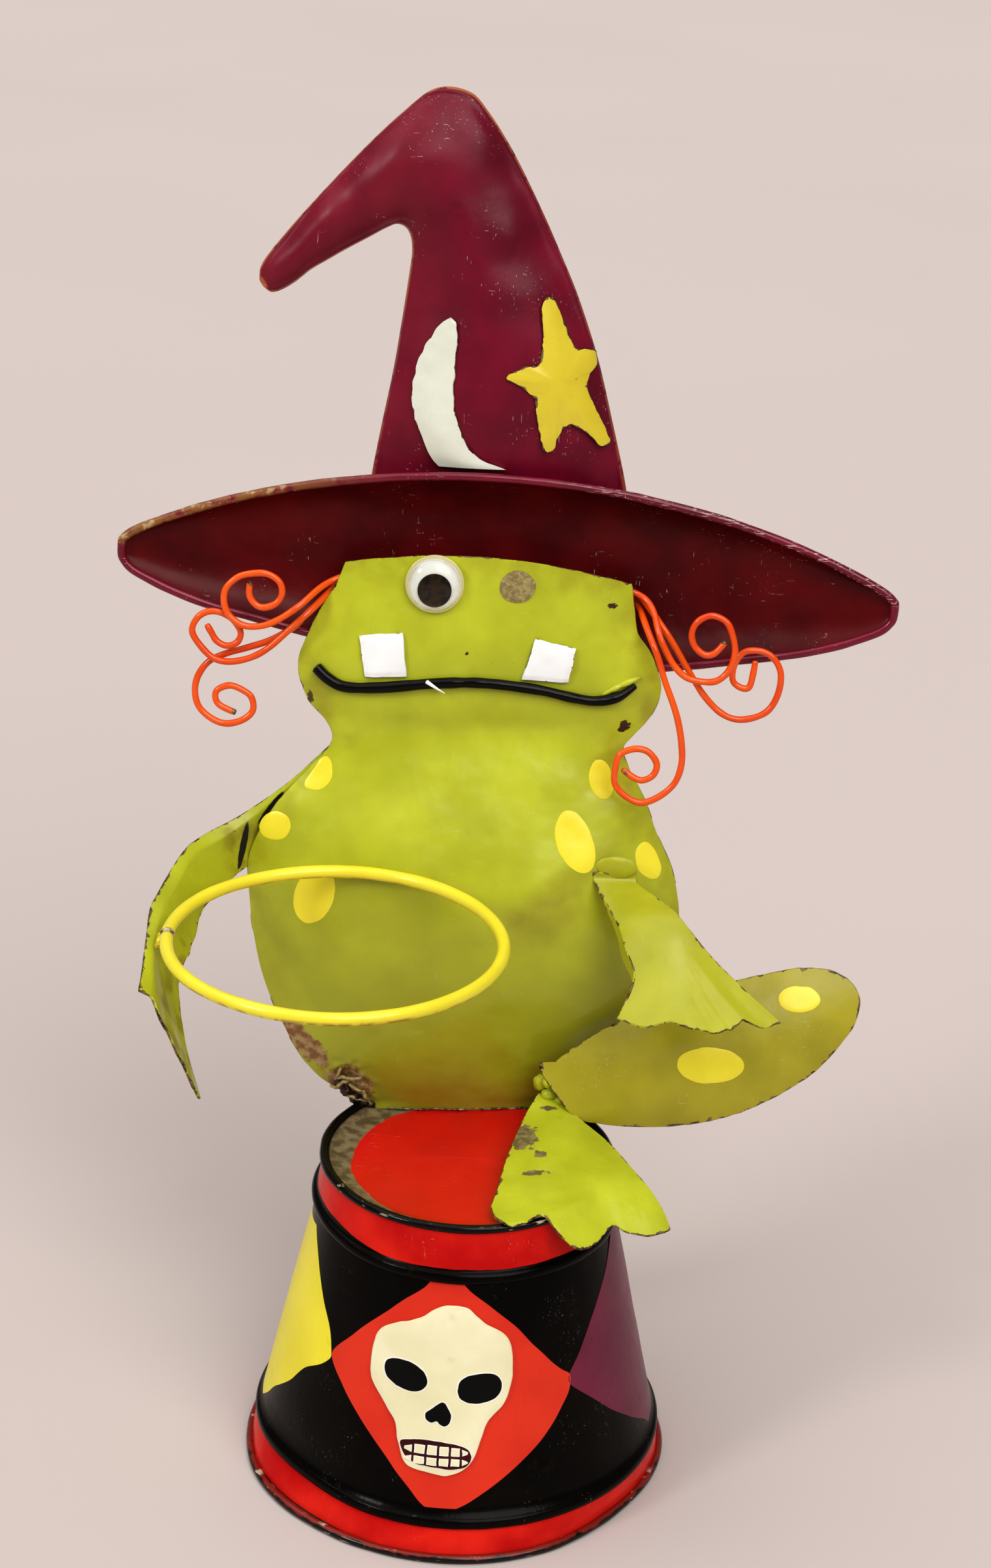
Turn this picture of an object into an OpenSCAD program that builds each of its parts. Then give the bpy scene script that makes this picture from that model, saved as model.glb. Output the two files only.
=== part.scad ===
// Sheet-metal frog in a witch's hat. It sits on an upturned tin drum and holds a hoop for a small cup.
// Frame: +Z up, origin at the centre of the drum's foot on the table, the frog's front faces -Y.
// Left and right are a viewer's, standing in front of the frog. All lengths are millimetres.

/* [Drum] */
// Outer radius of the rolled rim at the drum's foot
foot_rim_r = 75; // [74:1:77]
// Outer radius of the rolled rim at the drum's top
top_rim_r = 51.2; // [50.5:0.1:52]
// Height of the drum, rims included
drum_h = 118; // [117:0.5:119]
// Thickness of the drum's tin sheet
tin_t = 0.8; // [0.6:0.1:1]

/* [Frog] */
// Angle by which the frog leans back, in degrees
lean = 8; // [6:1:10]
// Thickness of the sheet that the frog and its hat are cut from
sheet_t = 1; // [0.8:0.1:1.2]
// How far the hammered belly stands out from the edge of the sheet
belly_h = 15; // [12:1:17]
// Radius of the wire that the hair curls are bent from
hair_wire_r = 1.15; // [1:0.05:1.3]
// Radius of the stick-on eye
eye_r = 10; // [9:0.5:10]

/* [Hoop] */
// Radius of the hoop, measured to the middle of its rod
hoop_r = 55; // [53:0.5:56]
// Radius of the hoop's rod
hoop_rod_r = 2.2; // [2:0.1:2.4]

/* [Hat] */
// Half the length of the brim, from its middle to a tip
brim_a = 134; // [130:1:136]
// Depth of the brim's dish
brim_depth = 11; // [9:1:12]

/* [Hidden] */
$fn = 64;

green = [0.72, 0.75, 0.12];
yellow = [0.93, 0.84, 0.16];
maroon = [0.36, 0.05, 0.16];
orange = [0.92, 0.30, 0.10];
red = [0.78, 0.07, 0.06];
black = [0.04, 0.04, 0.04];
cream = [0.86, 0.84, 0.70];
ivory = [0.92, 0.94, 0.86];
bare = [0.45, 0.38, 0.22];

// ---------- curves ----------

function mix(a, b, k) = a + (b - a) * k;
function unit(v) = v / norm(v);
function clamp01(k) = min(max(k, 0), 1);
function ease(k) = let (c = clamp01(k)) c * c * (3 - 2 * c);

// One step of a smooth curve through b and c, with neighbours a and d
function through(a, b, c, d, k) =
    b + 0.5 * k * ((c - a) + k * (2 * a - 5 * b + 4 * c - d + k * (3 * (b - c) + d - a)));

// Smooth open and closed curves through the points p, with n steps for each span
function open_curve(p, n) = let (e = len(p) - 1) [
    for (i = [0 : e - 1], k = [0 : n - 1])
        through(p[max(i - 1, 0)], p[i], p[i + 1], p[min(i + 2, e)], k / n),
    p[e]];
function closed_curve(p, n) = let (m = len(p)) [
    for (i = [0 : m - 1], k = [0 : n - 1])
        through(p[(i + m - 1) % m], p[i], p[(i + 1) % m], p[(i + 2) % m], k / n)];

// Smooth value at s of a table of [s, value] rows
function row_of(t, s, i = 0) = i >= len(t) - 2 || s < t[i + 1][0] ? i : row_of(t, s, i + 1);
function slope(t, i) = let (a = max(i - 1, 0), b = min(i + 1, len(t) - 1))
    (t[b][1] - t[a][1]) / (t[b][0] - t[a][0]);
function at(t, s) =
    let (i = row_of(t, s), h = t[i + 1][0] - t[i][0], k = clamp01((s - t[i][0]) / h))
    (2 * k * k * k - 3 * k * k + 1) * t[i][1] + (3 * k * k - 2 * k * k * k) * t[i + 1][1]
    + h * (k * k * k - 2 * k * k + k) * slope(t, i) + h * (k * k * k - k * k) * slope(t, i + 1);

// ---------- solids ----------

// A sheet of thickness t behind a grid of front points. Rows run up and columns run right,
// as seen from the front.
function grid_normal(g, i, j) =
    let (n = len(g) - 1, m = len(g[0]) - 1,
        across = g[i][min(j + 1, m)] - g[i][max(j - 1, 0)],
        along = g[min(i + 1, n)][j] - g[max(i - 1, 0)][j])
    unit(cross(across, along));
module sheet(g, t = sheet_t) {
    n = len(g);
    m = len(g[0]);
    back = [for (i = [0 : n - 1], j = [0 : m - 1]) g[i][j] - t * grid_normal(g, i, j)];
    front = [for (r = g) each r];
    function f(i, j) = i * m + j;
    function b(i, j) = n * m + f(i, j);
    polyhedron(concat(front, back), concat(
        [for (i = [0 : n - 2], j = [0 : m - 2]) each [
            [f(i, j), f(i + 1, j), f(i + 1, j + 1)],
            [f(i, j), f(i + 1, j + 1), f(i, j + 1)],
            [b(i, j), b(i + 1, j + 1), b(i + 1, j)],
            [b(i, j), b(i, j + 1), b(i + 1, j + 1)]]],
        [for (j = [0 : m - 2]) each [
            [f(0, j), f(0, j + 1), b(0, j + 1)],
            [f(0, j), b(0, j + 1), b(0, j)],
            [f(n - 1, j + 1), f(n - 1, j), b(n - 1, j)],
            [f(n - 1, j + 1), b(n - 1, j), b(n - 1, j + 1)]]],
        [for (i = [0 : n - 2]) each [
            [f(i + 1, 0), f(i, 0), b(i, 0)],
            [f(i + 1, 0), b(i, 0), b(i + 1, 0)],
            [f(i, m - 1), f(i + 1, m - 1), b(i + 1, m - 1)],
            [f(i, m - 1), b(i + 1, m - 1), b(i, m - 1)]]]));
}

// A plate of thickness t behind rings of front points round a centre point. The rings run
// clockwise as seen from the front; back_dir points away from the viewer.
module ringed_plate(centre, rings, back_dir, t) {
    n = len(rings);
    m = len(rings[0]);
    front = concat([centre], [for (r = rings) each r]);
    total = len(front);
    back = [for (p = front) p + t * unit(back_dir)];
    function f(i, j) = 1 + i * m + j % m;
    function b(i, j) = total + f(i, j);
    polyhedron(concat(front, back), concat(
        [for (j = [0 : m - 1]) each [
            [0, f(0, j), f(0, j + 1)],
            [total, b(0, j + 1), b(0, j)],
            [f(n - 1, j + 1), f(n - 1, j), b(n - 1, j)],
            [f(n - 1, j + 1), b(n - 1, j), b(n - 1, j + 1)]]],
        [for (i = [0 : 1 : n - 2], j = [0 : m - 1]) each [
            [f(i, j), f(i + 1, j), f(i + 1, j + 1)],
            [f(i, j), f(i + 1, j + 1), f(i, j + 1)],
            [b(i, j), b(i + 1, j + 1), b(i + 1, j)],
            [b(i, j), b(i, j + 1), b(i + 1, j + 1)]]]));
}

// A rod of radius r along a path whose bends lie near the plane with normal up
module rod(path, r, up, sides = 8, closed = false) {
    n = len(path);
    function near(i, d) = closed ? path[(i + d + n) % n] : path[min(max(i + d, 0), n - 1)];
    rings = [for (i = [0 : n - 1])
        let (along = unit(near(i, 1) - near(i, -1)), a = unit(cross(along, up)), c = cross(a, along))
        for (k = [0 : sides - 1])
            path[i] + r * (cos(360 * k / sides) * a + sin(360 * k / sides) * c)];
    spans = closed ? n : n - 1;
    function v(i, k) = (i % n) * sides + k % sides;
    caps = closed ? [] : [[for (k = [sides - 1 : -1 : 0]) k], [for (k = [0 : sides - 1]) v(n - 1, k)]];
    polyhedron(rings, concat(caps, [for (i = [0 : spans - 1], k = [0 : sides - 1]) each [
        [v(i, k), v(i, k + 1), v(i + 1, k + 1)],
        [v(i, k), v(i + 1, k + 1), v(i + 1, k)]]]));
}

// A small bead of weld metal
module bead(p, r) translate(p) sphere(r = r, $fn = 20);

// ---------- the frog's own plane ----------
// x runs right, s runs up along the leaning sheet from its foot, n stands out to the front.

seat_y = 35;
seat_z = drum_h - 3;
front_dir = [0, -cos(lean), sin(lean)];
up_dir = [0, sin(lean), cos(lean)];
function on_frog(x, s, n) = [x, seat_y, seat_z] + s * up_dir + n * front_dir;
module in_frog_plane(x, s, n) translate(on_frog(x, s, n)) rotate([90 - lean, 0, 0]) children();

// ---------- drum ----------

rim_wire_r = 1.6;
top_wire_r = 1.5;
lower_bead_z = 14;
upper_bead_z = 100;
wall_foot_r = foot_rim_r - 2.2;
wall_low_r = foot_rim_r - 4.9;
wall_high_r = top_rim_r + 0.6;
wall_top_r = top_rim_r - 1.2;
bead_out = 1.7;
bead_h = 2.4;
wall_foot_z = 2.6;
wall_low_z = lower_bead_z + 2.5;
wall_high_z = upper_bead_z - 2.5;
wall_end_z = drum_h - 3;

// Two pressed beads stand out of the wall
function half_ring(r, z) = [for (a = [-80 : 20 : 80]) [r + bead_out * cos(a), z + bead_h * sin(a)]];
wall_profile = concat([[wall_foot_r, wall_foot_z]],
    half_ring(wall_low_r + 0.4, lower_bead_z),
    half_ring(wall_high_r - 0.3, upper_bead_z),
    [[wall_top_r, wall_end_z]]);

module drum_wall() color(black)
    rotate_extrude($fn = 96)
        polygon(concat(wall_profile,
            [for (i = [len(wall_profile) - 1 : -1 : 0]) wall_profile[i] - [tin_t, 0]]));

disc_r = top_rim_r - 2 * top_wire_r - 0.1;
margin_w = 4.1;
margin_rise = 1.2;
module drum_top_disc() color(red) {
    flat_r = disc_r - margin_w;
    translate([0, 0, seat_z - tin_t])
        cylinder(r = flat_r, h = tin_t, $fn = 96);
    // the margin slopes up to the rim
    rotate_extrude($fn = 96)
        polygon([[flat_r - 0.5, seat_z - tin_t], [flat_r, seat_z], [disc_r, seat_z + margin_rise],
            [disc_r, seat_z + margin_rise - 1], [flat_r + 1, seat_z - tin_t]]);
}

module drum_top_rim() color(black)
    rotate_extrude($fn = 96)
        translate([top_rim_r - top_wire_r, drum_h - top_wire_r])
            circle(r = top_wire_r, $fn = 24);

module drum_foot_rim() color(black)
    rotate_extrude($fn = 96)
        intersection() {
            translate([foot_rim_r - rim_wire_r, rim_wire_r - 0.15])
                circle(r = rim_wire_r, $fn = 24);
            translate([foot_rim_r - 5, 0])
                square([6, 4]);
        }

// Where the skull lies: angle round the drum from the front, and height
skull_a = -5.5;
skull_z = 62;
skull_t = 0.9;
skull_out = skull_t + 0.7;
skull_outline = [[-6, 89], [2, 89], [8, 84], [15, 79.5], [17.5, 74], [17.5, 65], [15, 57], [10, 50.5],
    [7.5, 44], [5, 36], [-1, 31.5], [-8, 32], [-14, 34], [-16.5, 40], [-18.5, 48], [-23, 53.5], [-28, 61],
    [-29, 70], [-27, 77], [-21, 81], [-14, 84]];
function wall_r(z) = mix(wall_low_r, wall_high_r, (z - wall_low_z) / (wall_high_z - wall_low_z));
function on_drum(a, z, out) = [(wall_r(z) + out) * sin(a), -(wall_r(z) + out) * cos(a), z];
module skull_plate() color(cream) {
    edge = closed_curve(skull_outline, 3);
    rings = [for (k = [0.25, 0.5, 0.75, 1])
        [for (e = edge) on_drum(mix(skull_a, e[0], k), mix(skull_z, e[1], k), skull_out)]];
    ringed_plate(on_drum(skull_a, skull_z, skull_out), rings, [-sin(skull_a), cos(skull_a), 0], skull_t);
}

// ---------- body and head, one hammered sheet ----------

body_top_left = 196;
body_top_right = 192.5;
body_arch = 6;
body_left = [[0, -33], [3, -36.5], [6, -45], [14, -56], [28, -66], [50, -76], [80, -81], [94, -80],
    [111, -71], [124, -60], [133, -53], [140, -55], [148, -62], [160, -65.5], [168, -63.5], [179, -58.5],
    [188, -53.5], [200, -49]];
body_right = [[0, 22], [3, 26.5], [6, 35], [14, 45], [28, 57], [50, 67], [75, 70.5], [92, 67], [105, 61],
    [117, 56], [129, 49.5], [135, 47.5], [139.5, 50.5], [144, 54.5], [149, 57.5], [156, 59.5], [163, 58],
    [171, 54], [176, 50.5], [184, 49], [200, 46]];
body_bulge = [[0, 1.5], [15, 8], [45, 0.95 * belly_h], [75, belly_h], [100, 0.85 * belly_h], [122, 6],
    [136, 2.5], [150, 5], [165, 6], [180, 5.6], [192, 5], [202, 4.2]];
// The sheet's foot is turned a little on the drum: its right end stands further back
foot_turn = 0.13;
function body_n(x, s) =
    let (u = (x - at(body_left, s)) / (at(body_right, s) - at(body_left, s)))
    at(body_bulge, s) * (1 - pow(abs(2 * clamp01(u) - 1), 2.4)) - foot_turn * x * (1 - ease(s / 60));
body_steps = 38;
body_cols = 16;
module body_plate() color(green)
    sheet([for (i = [0 : body_steps]) [for (j = [0 : body_cols])
        let (u = j / body_cols, arch = body_arch * (1 - pow(2 * u - 1, 2)),
            s = (mix(body_top_left, body_top_right, u) + arch) * i / body_steps,
            x = mix(at(body_left, s), at(body_right, s), (1 - cos(180 * u)) / 2))
        on_frog(x, s, body_n(x, s))]]);

module body_seat_weld() color(green)
    for (x = [-24, -4, 14])
        bead(on_frog(x, 0.6, body_n(x, 0) - sheet_t - 0.5), 1.3);

// What is left where the other leg broke off: a torn scrap of its plate and the weld metal
module leg_stub() color(bare) {
    for (p = [[-44, 7, 5.5, 1.6], [-41, 5, 6.5, 2], [-38, 3.5, 6, 1.7], [-46, 10, 5.5, 1.4]])
        bead(on_frog(p[0], p[1], p[2]), p[3]);
    sheet([for (i = [0 : 6]) [for (j = [0 : 4])
        on_frog(-36 - 1.6 * i + 1.2 * sin(100 * j), 12 - 3 * j + 1.3 * i, 7 + 0.25 * i * (j - 1))]], 0.8);
}

// ---------- arm that holds the hoop ----------
// Across each station: outer edge of the flange, its fold, and the lower edge of the sheet

arm_outer = [[-54, 56, 244], [-69, 54, 229.5], [-83, 50, 219.5], [-95, 42, 215], [-101, 33, 213],
    [-105.5, 20, 209], [-107.5, 8, 207.5], [-109, -3, 206.5], [-108, -20, 205], [-107, -38, 203.5],
    [-106, -54, 201]];
arm_fold = [[-54, 55.5, 240], [-71, 53, 226], [-81, 49, 217.5], [-91, 41, 213], [-98, 33, 211],
    [-102, 20, 207], [-104.5, 8, 205], [-105.5, -3, 205], [-105.5, -20, 203.5], [-104, -36, 202],
    [-102, -53, 198.5]];
arm_low = [[-54, 55.5, 228], [-71, 53.5, 212], [-78.5, 51, 202], [-85, 42.5, 199], [-91, 33, 195.5],
    [-94.5, 24, 194], [-95.5, 8, 191.5], [-96.5, -5, 190], [-98, -18, 188.5], [-94, -36, 176],
    [-87, -50, 161]];
arm_steps = 4;
arm_cols = 8;
// The webbed end: how far the sheet runs on past its last station
function arm_toes(u) = 2.2 * abs(sin(540 * u)) - 1;
module arm_plate() color(green) {
    outer = open_curve(arm_outer, arm_steps);
    fold = open_curve(arm_fold, arm_steps);
    low = open_curve(arm_low, arm_steps);
    last = len(outer) - 1;
    sheet([for (i = [last : -1 : 0]) [for (j = [0 : arm_cols])
        let (u = max(j - 1, 0) / (arm_cols - 1),
            p = j == 0 ? outer[i] : mix(fold[i], low[i], u))
        i == last ? p + arm_toes(u) * [0.3, -1, -0.25] : p]]);
}

module shoulder_weld() color(green)
    for (p = [[-53, 119], [-57, 114], [-62, 108]])
        bead(on_frog(p[0], p[1], -sheet_t - 1.6), 1.7);

hoop_at = [-46, -24, 207.5];
module hoop() color(yellow)
    translate(hoop_at)
        rotate_extrude($fn = 96)
            translate([hoop_r, 0])
                circle(r = hoop_rod_r, $fn = 24);

module hoop_weld() color(yellow) {
    bead(hoop_at + [-hoop_r - 2.2, 3, -2.4], 1.5);
    bead(hoop_at + [-hoop_r - 2.4, 0, -2.6], 1.6);
    bead(hoop_at + [-hoop_r - 2.2, -3, -2.4], 1.4);
}

// ---------- the other hand, welded on the chest ----------

hand_left = [[39.5, 37.2, 208.5], [40, 36.4, 205.5], [44.5, 27, 200.5], [48.5, 18, 197], [50.5, 10, 193],
    [53.5, 2, 187.5], [51, -6, 181.5], [48.5, -12, 178]];
hand_right = [[54, 39.8, 208], [55, 38.2, 204.5], [61.5, 28, 204], [66.5, 20, 203.5], [71.5, 14, 200],
    [80, 9, 192], [92, 2, 183], [103.5, -5, 175.5]];
hand_steps = 4;
hand_cols = 16;
// Webbed toes: how far each point of the front edge stands forward of the straight line
hand_toes = [[0, 0], [0.15, 3.6], [0.32, 2], [0.42, 4], [0.58, 6], [0.7, 3.6], [0.76, 0.6], [0.9, 2.4],
    [1, 0]];
module hand_plate() color(green) {
    left = open_curve(hand_left, hand_steps);
    right = open_curve(hand_right, hand_steps);
    last = len(left) - 1;
    grid = [for (i = [last : -1 : 0]) [for (j = [0 : hand_cols])
        let (u = j / hand_cols, k = ease((i / last - 0.55) / 0.45), p = mix(left[i], right[i], u))
        p + k * at(hand_toes, u) * [0.1, -0.6, -0.65]
            + 2.5 * sin(180 * u) * ease(i / last * 4 - 0.8) * [0, -0.5, 0.8]]];
    sheet(grid);
    // flange folded down along the inner side
    sheet([for (i = [last - 4 : -1 : 7]) [
        left[i] + [-0.6, 1.2, -3.4] * sin(180 * (last - 3 - i) / (last - 9)) + [-0.3, 0, -0.4], left[i]]], 0.8);
}

module hand_weld() color(green)
    for (p = [[42, 36.6, 209.6], [47, 37.2, 210], [52, 39, 209.4]])
        bead(p, 1.3);

// ---------- thigh and foot ----------

// Outline of the thigh leaf as x and z; the leaf leans back by leaf_lean of its height
leaf_outline = [[24, 139], [29, 141], [38, 147.5], [51, 155], [71, 163], [91, 170], [109, 174.5],
    [118, 175.5], [126, 174.5], [132, 171], [135, 165.5], [134, 159], [130.5, 153], [122.5, 143.5],
    [112.5, 136], [99.5, 129], [86.5, 124.5], [73.5, 122], [59.5, 121], [46, 121.5], [36, 124]];
leaf_mid = [80, 146];
leaf_lean = 0.38;
leaf_bulge = 6;
function on_leaf(x, z, k) =
    [x, 25.5 + leaf_lean * (z - 145) - leaf_bulge * (1 - k * k) * ease((x - 20) / 40), z];
module thigh_plate() color(green) {
    edge = closed_curve(leaf_outline, 3);
    rings = [for (k = [0.2, 0.4, 0.6, 0.8, 1])
        [for (e = edge) on_leaf(mix(leaf_mid[0], e[0], k), mix(leaf_mid[1], e[1], k), k)]];
    ringed_plate(on_leaf(leaf_mid[0], leaf_mid[1], 0), rings, [0, 1, -leaf_lean], sheet_t);
}

foot_left = [[25, 28, 127.5], [20, 16, 124.5], [16, 1, 122.3], [13, -14, 121], [10.8, -29, 120],
    [9, -40, 119.6], [10.5, -46, 119.6]];
foot_right = [[35.5, 23, 124.5], [40, 15, 123], [49, 3, 121.5], [57, -12, 120], [62, -20, 118],
    [67, -28, 114], [69.5, -34, 110.5]];
foot_cols = 20;
foot_steps = 4;
// Webbed toes, with the two notches between them
foot_toes = [[0, 0], [0.04, 3.5], [0.09, 5.2], [0.17, 3.2], [0.27, 0.3], [0.36, 7], [0.46, 12.5],
    [0.56, 8.5], [0.66, 0.3], [0.75, 2.2], [0.86, 3.6], [0.95, 2], [1, 0]];
// Where the foot crosses the drum's rim it rests on it, and bends down outside it
function over_rim(p) =
    let (out = max(norm([p[0], p[1]]) - top_rim_r - 0.6, 0))
    [p[0], p[1], max(p[2], drum_h + sheet_t + 0.4 - 0.9 * out)];
foot_droop = [[0, 0], [0.25, 0], [0.36, -0.1], [0.46, -0.2], [0.56, -0.25], [0.66, -0.3], [0.8, -0.3],
    [1, 0]];
module foot_plate() color(green) {
    left = open_curve(foot_left, foot_steps);
    right = open_curve(foot_right, foot_steps);
    last = len(left) - 1;
    sheet([for (i = [last : -1 : 0]) [for (j = [0 : foot_cols])
        let (u = j / foot_cols, k = ease((i / last - 0.6) / 0.4), p = mix(left[i], right[i], u),
            reach = k * at(foot_toes, u))
        over_rim(p + reach * [0.05, -1, at(foot_droop, u)]
            + [0, 0, 2.2 * sin(180 * u) * ease(i / last * 3) * (1 - k)])]]);
}

module thigh_weld() color(green)
    for (p = [[24.5, 27.5, 130.5, 2], [28, 25.5, 127.5, 2], [32, 24.5, 125.8, 1.8], [27, 23.4, 133, 1.6]])
        bead([p.x, p.y, p.z], p[3]);

// ---------- face ----------

mouth_path = [[-59, 159.5], [-55, 156], [-49, 153.5], [-37, 154], [-19, 156.5], [-2, 157.5], [16, 156],
    [29, 153.5], [37, 152.5], [44.5, 154], [50.5, 158]];
mouth_r = 1.8;
module mouth_wire() color(black)
    rod([for (p = open_curve(mouth_path, 3)) on_frog(p[0], p[1], body_n(p[0], p[1]) + mouth_r - 0.2)],
        mouth_r, front_dir);

// A square tooth: four corners, lifted along the bulge of the face
tooth_t = 1;
module tooth(corners) color(ivory) {
    n = 4;
    sheet([for (i = [0 : n]) [for (j = [0 : n])
        let (p = mix(mix(corners[0], corners[1], j / n), mix(corners[3], corners[2], j / n), i / n))
        on_frog(p[0], p[1], body_n(p[0], p[1]) + tooth_t + 0.6)]], tooth_t);
}
module tooth_left() tooth([[-42.5, 157.4], [-28, 158.4], [-30, 173.5], [-44.5, 171.5]]);
module tooth_right() tooth([[11.5, 159.4], [27.5, 158.6], [29.5, 170.5], [15.5, 173.5]]);

// The stick-on eye rests on the highest part of the sheet under it
eye_x = -19.5;
eye_s = 191;
eye_n = body_n(eye_x, eye_s - eye_r) + 0.4;
eye_flat_t = 1;
pupil_r = 5.8;
pupil_t = 0.5;
pupil_off = 2.1;
dome_lip = 1.1;
dome_t = 0.4;
dome_r = eye_r - dome_lip;
dome_h = 4.2;
module eye_back() color("white")
    in_frog_plane(eye_x, eye_s, eye_n)
        cylinder(r = eye_r, h = eye_flat_t, $fn = 64);
// Clear bubble with a flat rim, hollow inside
function cap_profile(r, h) = [for (a = [0 : 15 : 90]) [r * cos(a), h * sin(a)]];
function reversed(p) = [for (i = [len(p) - 1 : -1 : 0]) p[i]];
module eye_dome() color([0.9, 0.95, 0.95, 0.4])
    in_frog_plane(eye_x, eye_s, eye_n + eye_flat_t)
        rotate_extrude($fn = 64)
            polygon(concat([[dome_r - dome_t, 0], [eye_r, 0], [eye_r, 0.7]], cap_profile(dome_r, dome_h),
                reversed(cap_profile(dome_r - dome_t, dome_h - dome_t))));
module eye_pupil() color(black)
    in_frog_plane(eye_x, eye_s, eye_n + eye_flat_t + 0.2)
        translate([0, -pupil_off, 0])
            cylinder(r = pupil_r, h = pupil_t, $fn = 48);
// Dried glue where the other eye was
glue_x = 8.6;
glue_s = 191;
glue_r = 6;
glue_t = 0.4;
module eye_glue_spot() color(bare)
    in_frog_plane(glue_x, glue_s, body_n(glue_x, glue_s - glue_r) + 0.2)
        cylinder(r = glue_r, h = glue_t, $fn = 32);

// ---------- hat ----------

brim_mid = [5.5, 194];
brim_tilt = 2.3;
brim_n = -3.2;
rim_r = 1.5;
// Height of the brim above and below its long axis, at k from its middle to a tip
brim_above = [[-0.25, 30.7], [0, 32.4], [0.25, 30.7], [0.5, 25.4], [0.65, 20.4], [0.75, 16.2], [0.85, 11],
    [0.93, 6.2], [0.97, 3.2], [0.99, 0.6]];
brim_below = [[-0.25, 31.4], [0, 33], [0.25, 31.4], [0.5, 26.4], [0.65, 22.4], [0.75, 19.8], [0.85, 15.8],
    [0.93, 11.4], [0.97, 8.4], [0.99, 4.8]];
function brim_height(k) = at(brim_above, abs(k)) + at(brim_below, abs(k));
function dish(k) = -brim_depth * brim_height(k) / brim_height(0);
// A point of the brim: k from tip to tip, v from the lower to the upper edge
function on_brim(k, v, n) =
    let (p = [brim_a * k, v * at(v < 0 ? brim_below : brim_above, abs(k))])
    on_frog(brim_mid[0] + p[0] * cos(brim_tilt) + p[1] * sin(brim_tilt),
        brim_mid[1] - p[0] * sin(brim_tilt) + p[1] * cos(brim_tilt), brim_n + n);
brim_steps = 40;
brim_cols = 14;
brim_end = 0.99;
module hat_brim() color(maroon)
    sheet([for (j = [brim_cols : -1 : 0]) [for (i = [brim_steps : -1 : 0])
        let (k = -brim_end * cos(180 * i / brim_steps), v = cos(180 * j / brim_cols))
        on_brim(k, 0.97 * v, dish(k) * (1 - pow(v, 4)))]]);

// The edge of the brim is rolled round a wire
module brim_rim() color(maroon) {
    half = 30;
    upper = [for (i = [0 : half]) on_brim(-brim_end * cos(180 * i / half), 1, 0.4)];
    lower = [for (i = [half - 1 : -1 : 1]) on_brim(-brim_end * cos(180 * i / half), -1, 0.4)];
    rod(concat(upper, lower), rim_r, front_dir, 8, true);
}

// Left and right edges of the crown, row by row from its foot, over the bend and out to the tip
crown_left = [[-44.5, 206], [-44, 215], [-43, 225], [-40, 243], [-36.5, 263], [-33, 290], [-32, 301],
    [-33.5, 307], [-37, 309], [-41, 307.5], [-47, 304], [-54, 300], [-60, 296.3], [-66, 292.5],
    [-71, 288.3], [-75.5, 285.5], [-79, 284.5], [-81.5, 286]];
crown_right = [[46, 206], [45.5, 215], [44, 225], [38.5, 246], [32.5, 267], [25, 287], [18, 302], [11, 316],
    [1, 334], [-8, 347], [-15, 353.5], [-26, 354], [-37, 345.5], [-51, 331.5], [-68, 312.5], [-79, 299],
    [-82.8, 293], [-83.2, 288.5]];
crown_n = -16.5;
crown_puff = [[0, 0], [1, 1.5], [2, 7], [3, 12], [4, 13], [5, 12], [6, 11], [7, 11], [8, 11], [9, 11],
    [10, 11], [11, 10], [12, 9], [13, 8], [14, 6.5], [15, 4.5], [16, 2.5], [17, 0.8]];
crown_steps = 2;
crown_cols = 16;
module hat_crown() color(maroon) {
    left = open_curve(crown_left, crown_steps);
    right = open_curve(crown_right, crown_steps);
    sheet([for (i = [0 : len(left) - 1]) [for (j = [0 : crown_cols])
        let (u = (1 - cos(180 * j / crown_cols)) / 2, p = mix(left[i], right[i], u),
            puff = at(crown_puff, i / crown_steps) * pow(4 * u * (1 - u), 0.7))
        on_frog(p[0], p[1], crown_n + puff)]]);
}
// Front of the crown's straight part at x and s
crown_x_left = [[206, -44.5], [225, -43], [243, -40], [263, -36.5], [290, -33], [301, -32]];
crown_x_right = [[206, 46], [225, 44], [246, 38.5], [267, 32.5], [287, 25], [302, 18]];
crown_s_puff = [[206, 0], [215, 1.5], [225, 7], [244, 12], [264, 13], [289, 12], [301, 11]];
function crown_front(x, s) =
    let (u = clamp01((x - at(crown_x_left, s)) / (at(crown_x_right, s) - at(crown_x_left, s))))
    crown_n + at(crown_s_puff, s) * pow(4 * u * (1 - u), 0.7);

module crown_weld() color(maroon)
    for (x = [-34, -17, 0, 17, 34])
        bead(on_frog(x, 204.6, crown_n + 0.6), 1.3);

// The moon and the star stand a little off the crown, their middles hammered out
ornament_t = 1;
ornament_off = 1.5;
ornament_puff = 0.8;
moon_left = [[229, -20], [231.5, -22.5], [238.5, -26], [246, -29], [255.5, -30], [261.5, -29], [269, -26.5],
    [275.5, -22.5], [278, -20.5], [279.5, -18.5]];
moon_right = [[229, 3], [232.5, -6.5], [237.5, -11.5], [245, -14.5], [253, -16], [262, -16], [271, -15.5],
    [278, -16], [279.5, -17.5]];
moon_foot = 229;
moon_top = 279.5;
module moon_plate() color(ivory) {
    rows = 18;
    cols = 6;
    sheet([for (i = [0 : rows]) [for (j = [0 : cols])
        let (s = mix(moon_foot, moon_top, i / rows), u = j / cols,
            x = mix(at(moon_left, s), at(moon_right, s), u))
        on_frog(x, s, crown_front(x, s) + ornament_off + ornament_puff * sin(180 * u))]], ornament_t);
}

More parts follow.
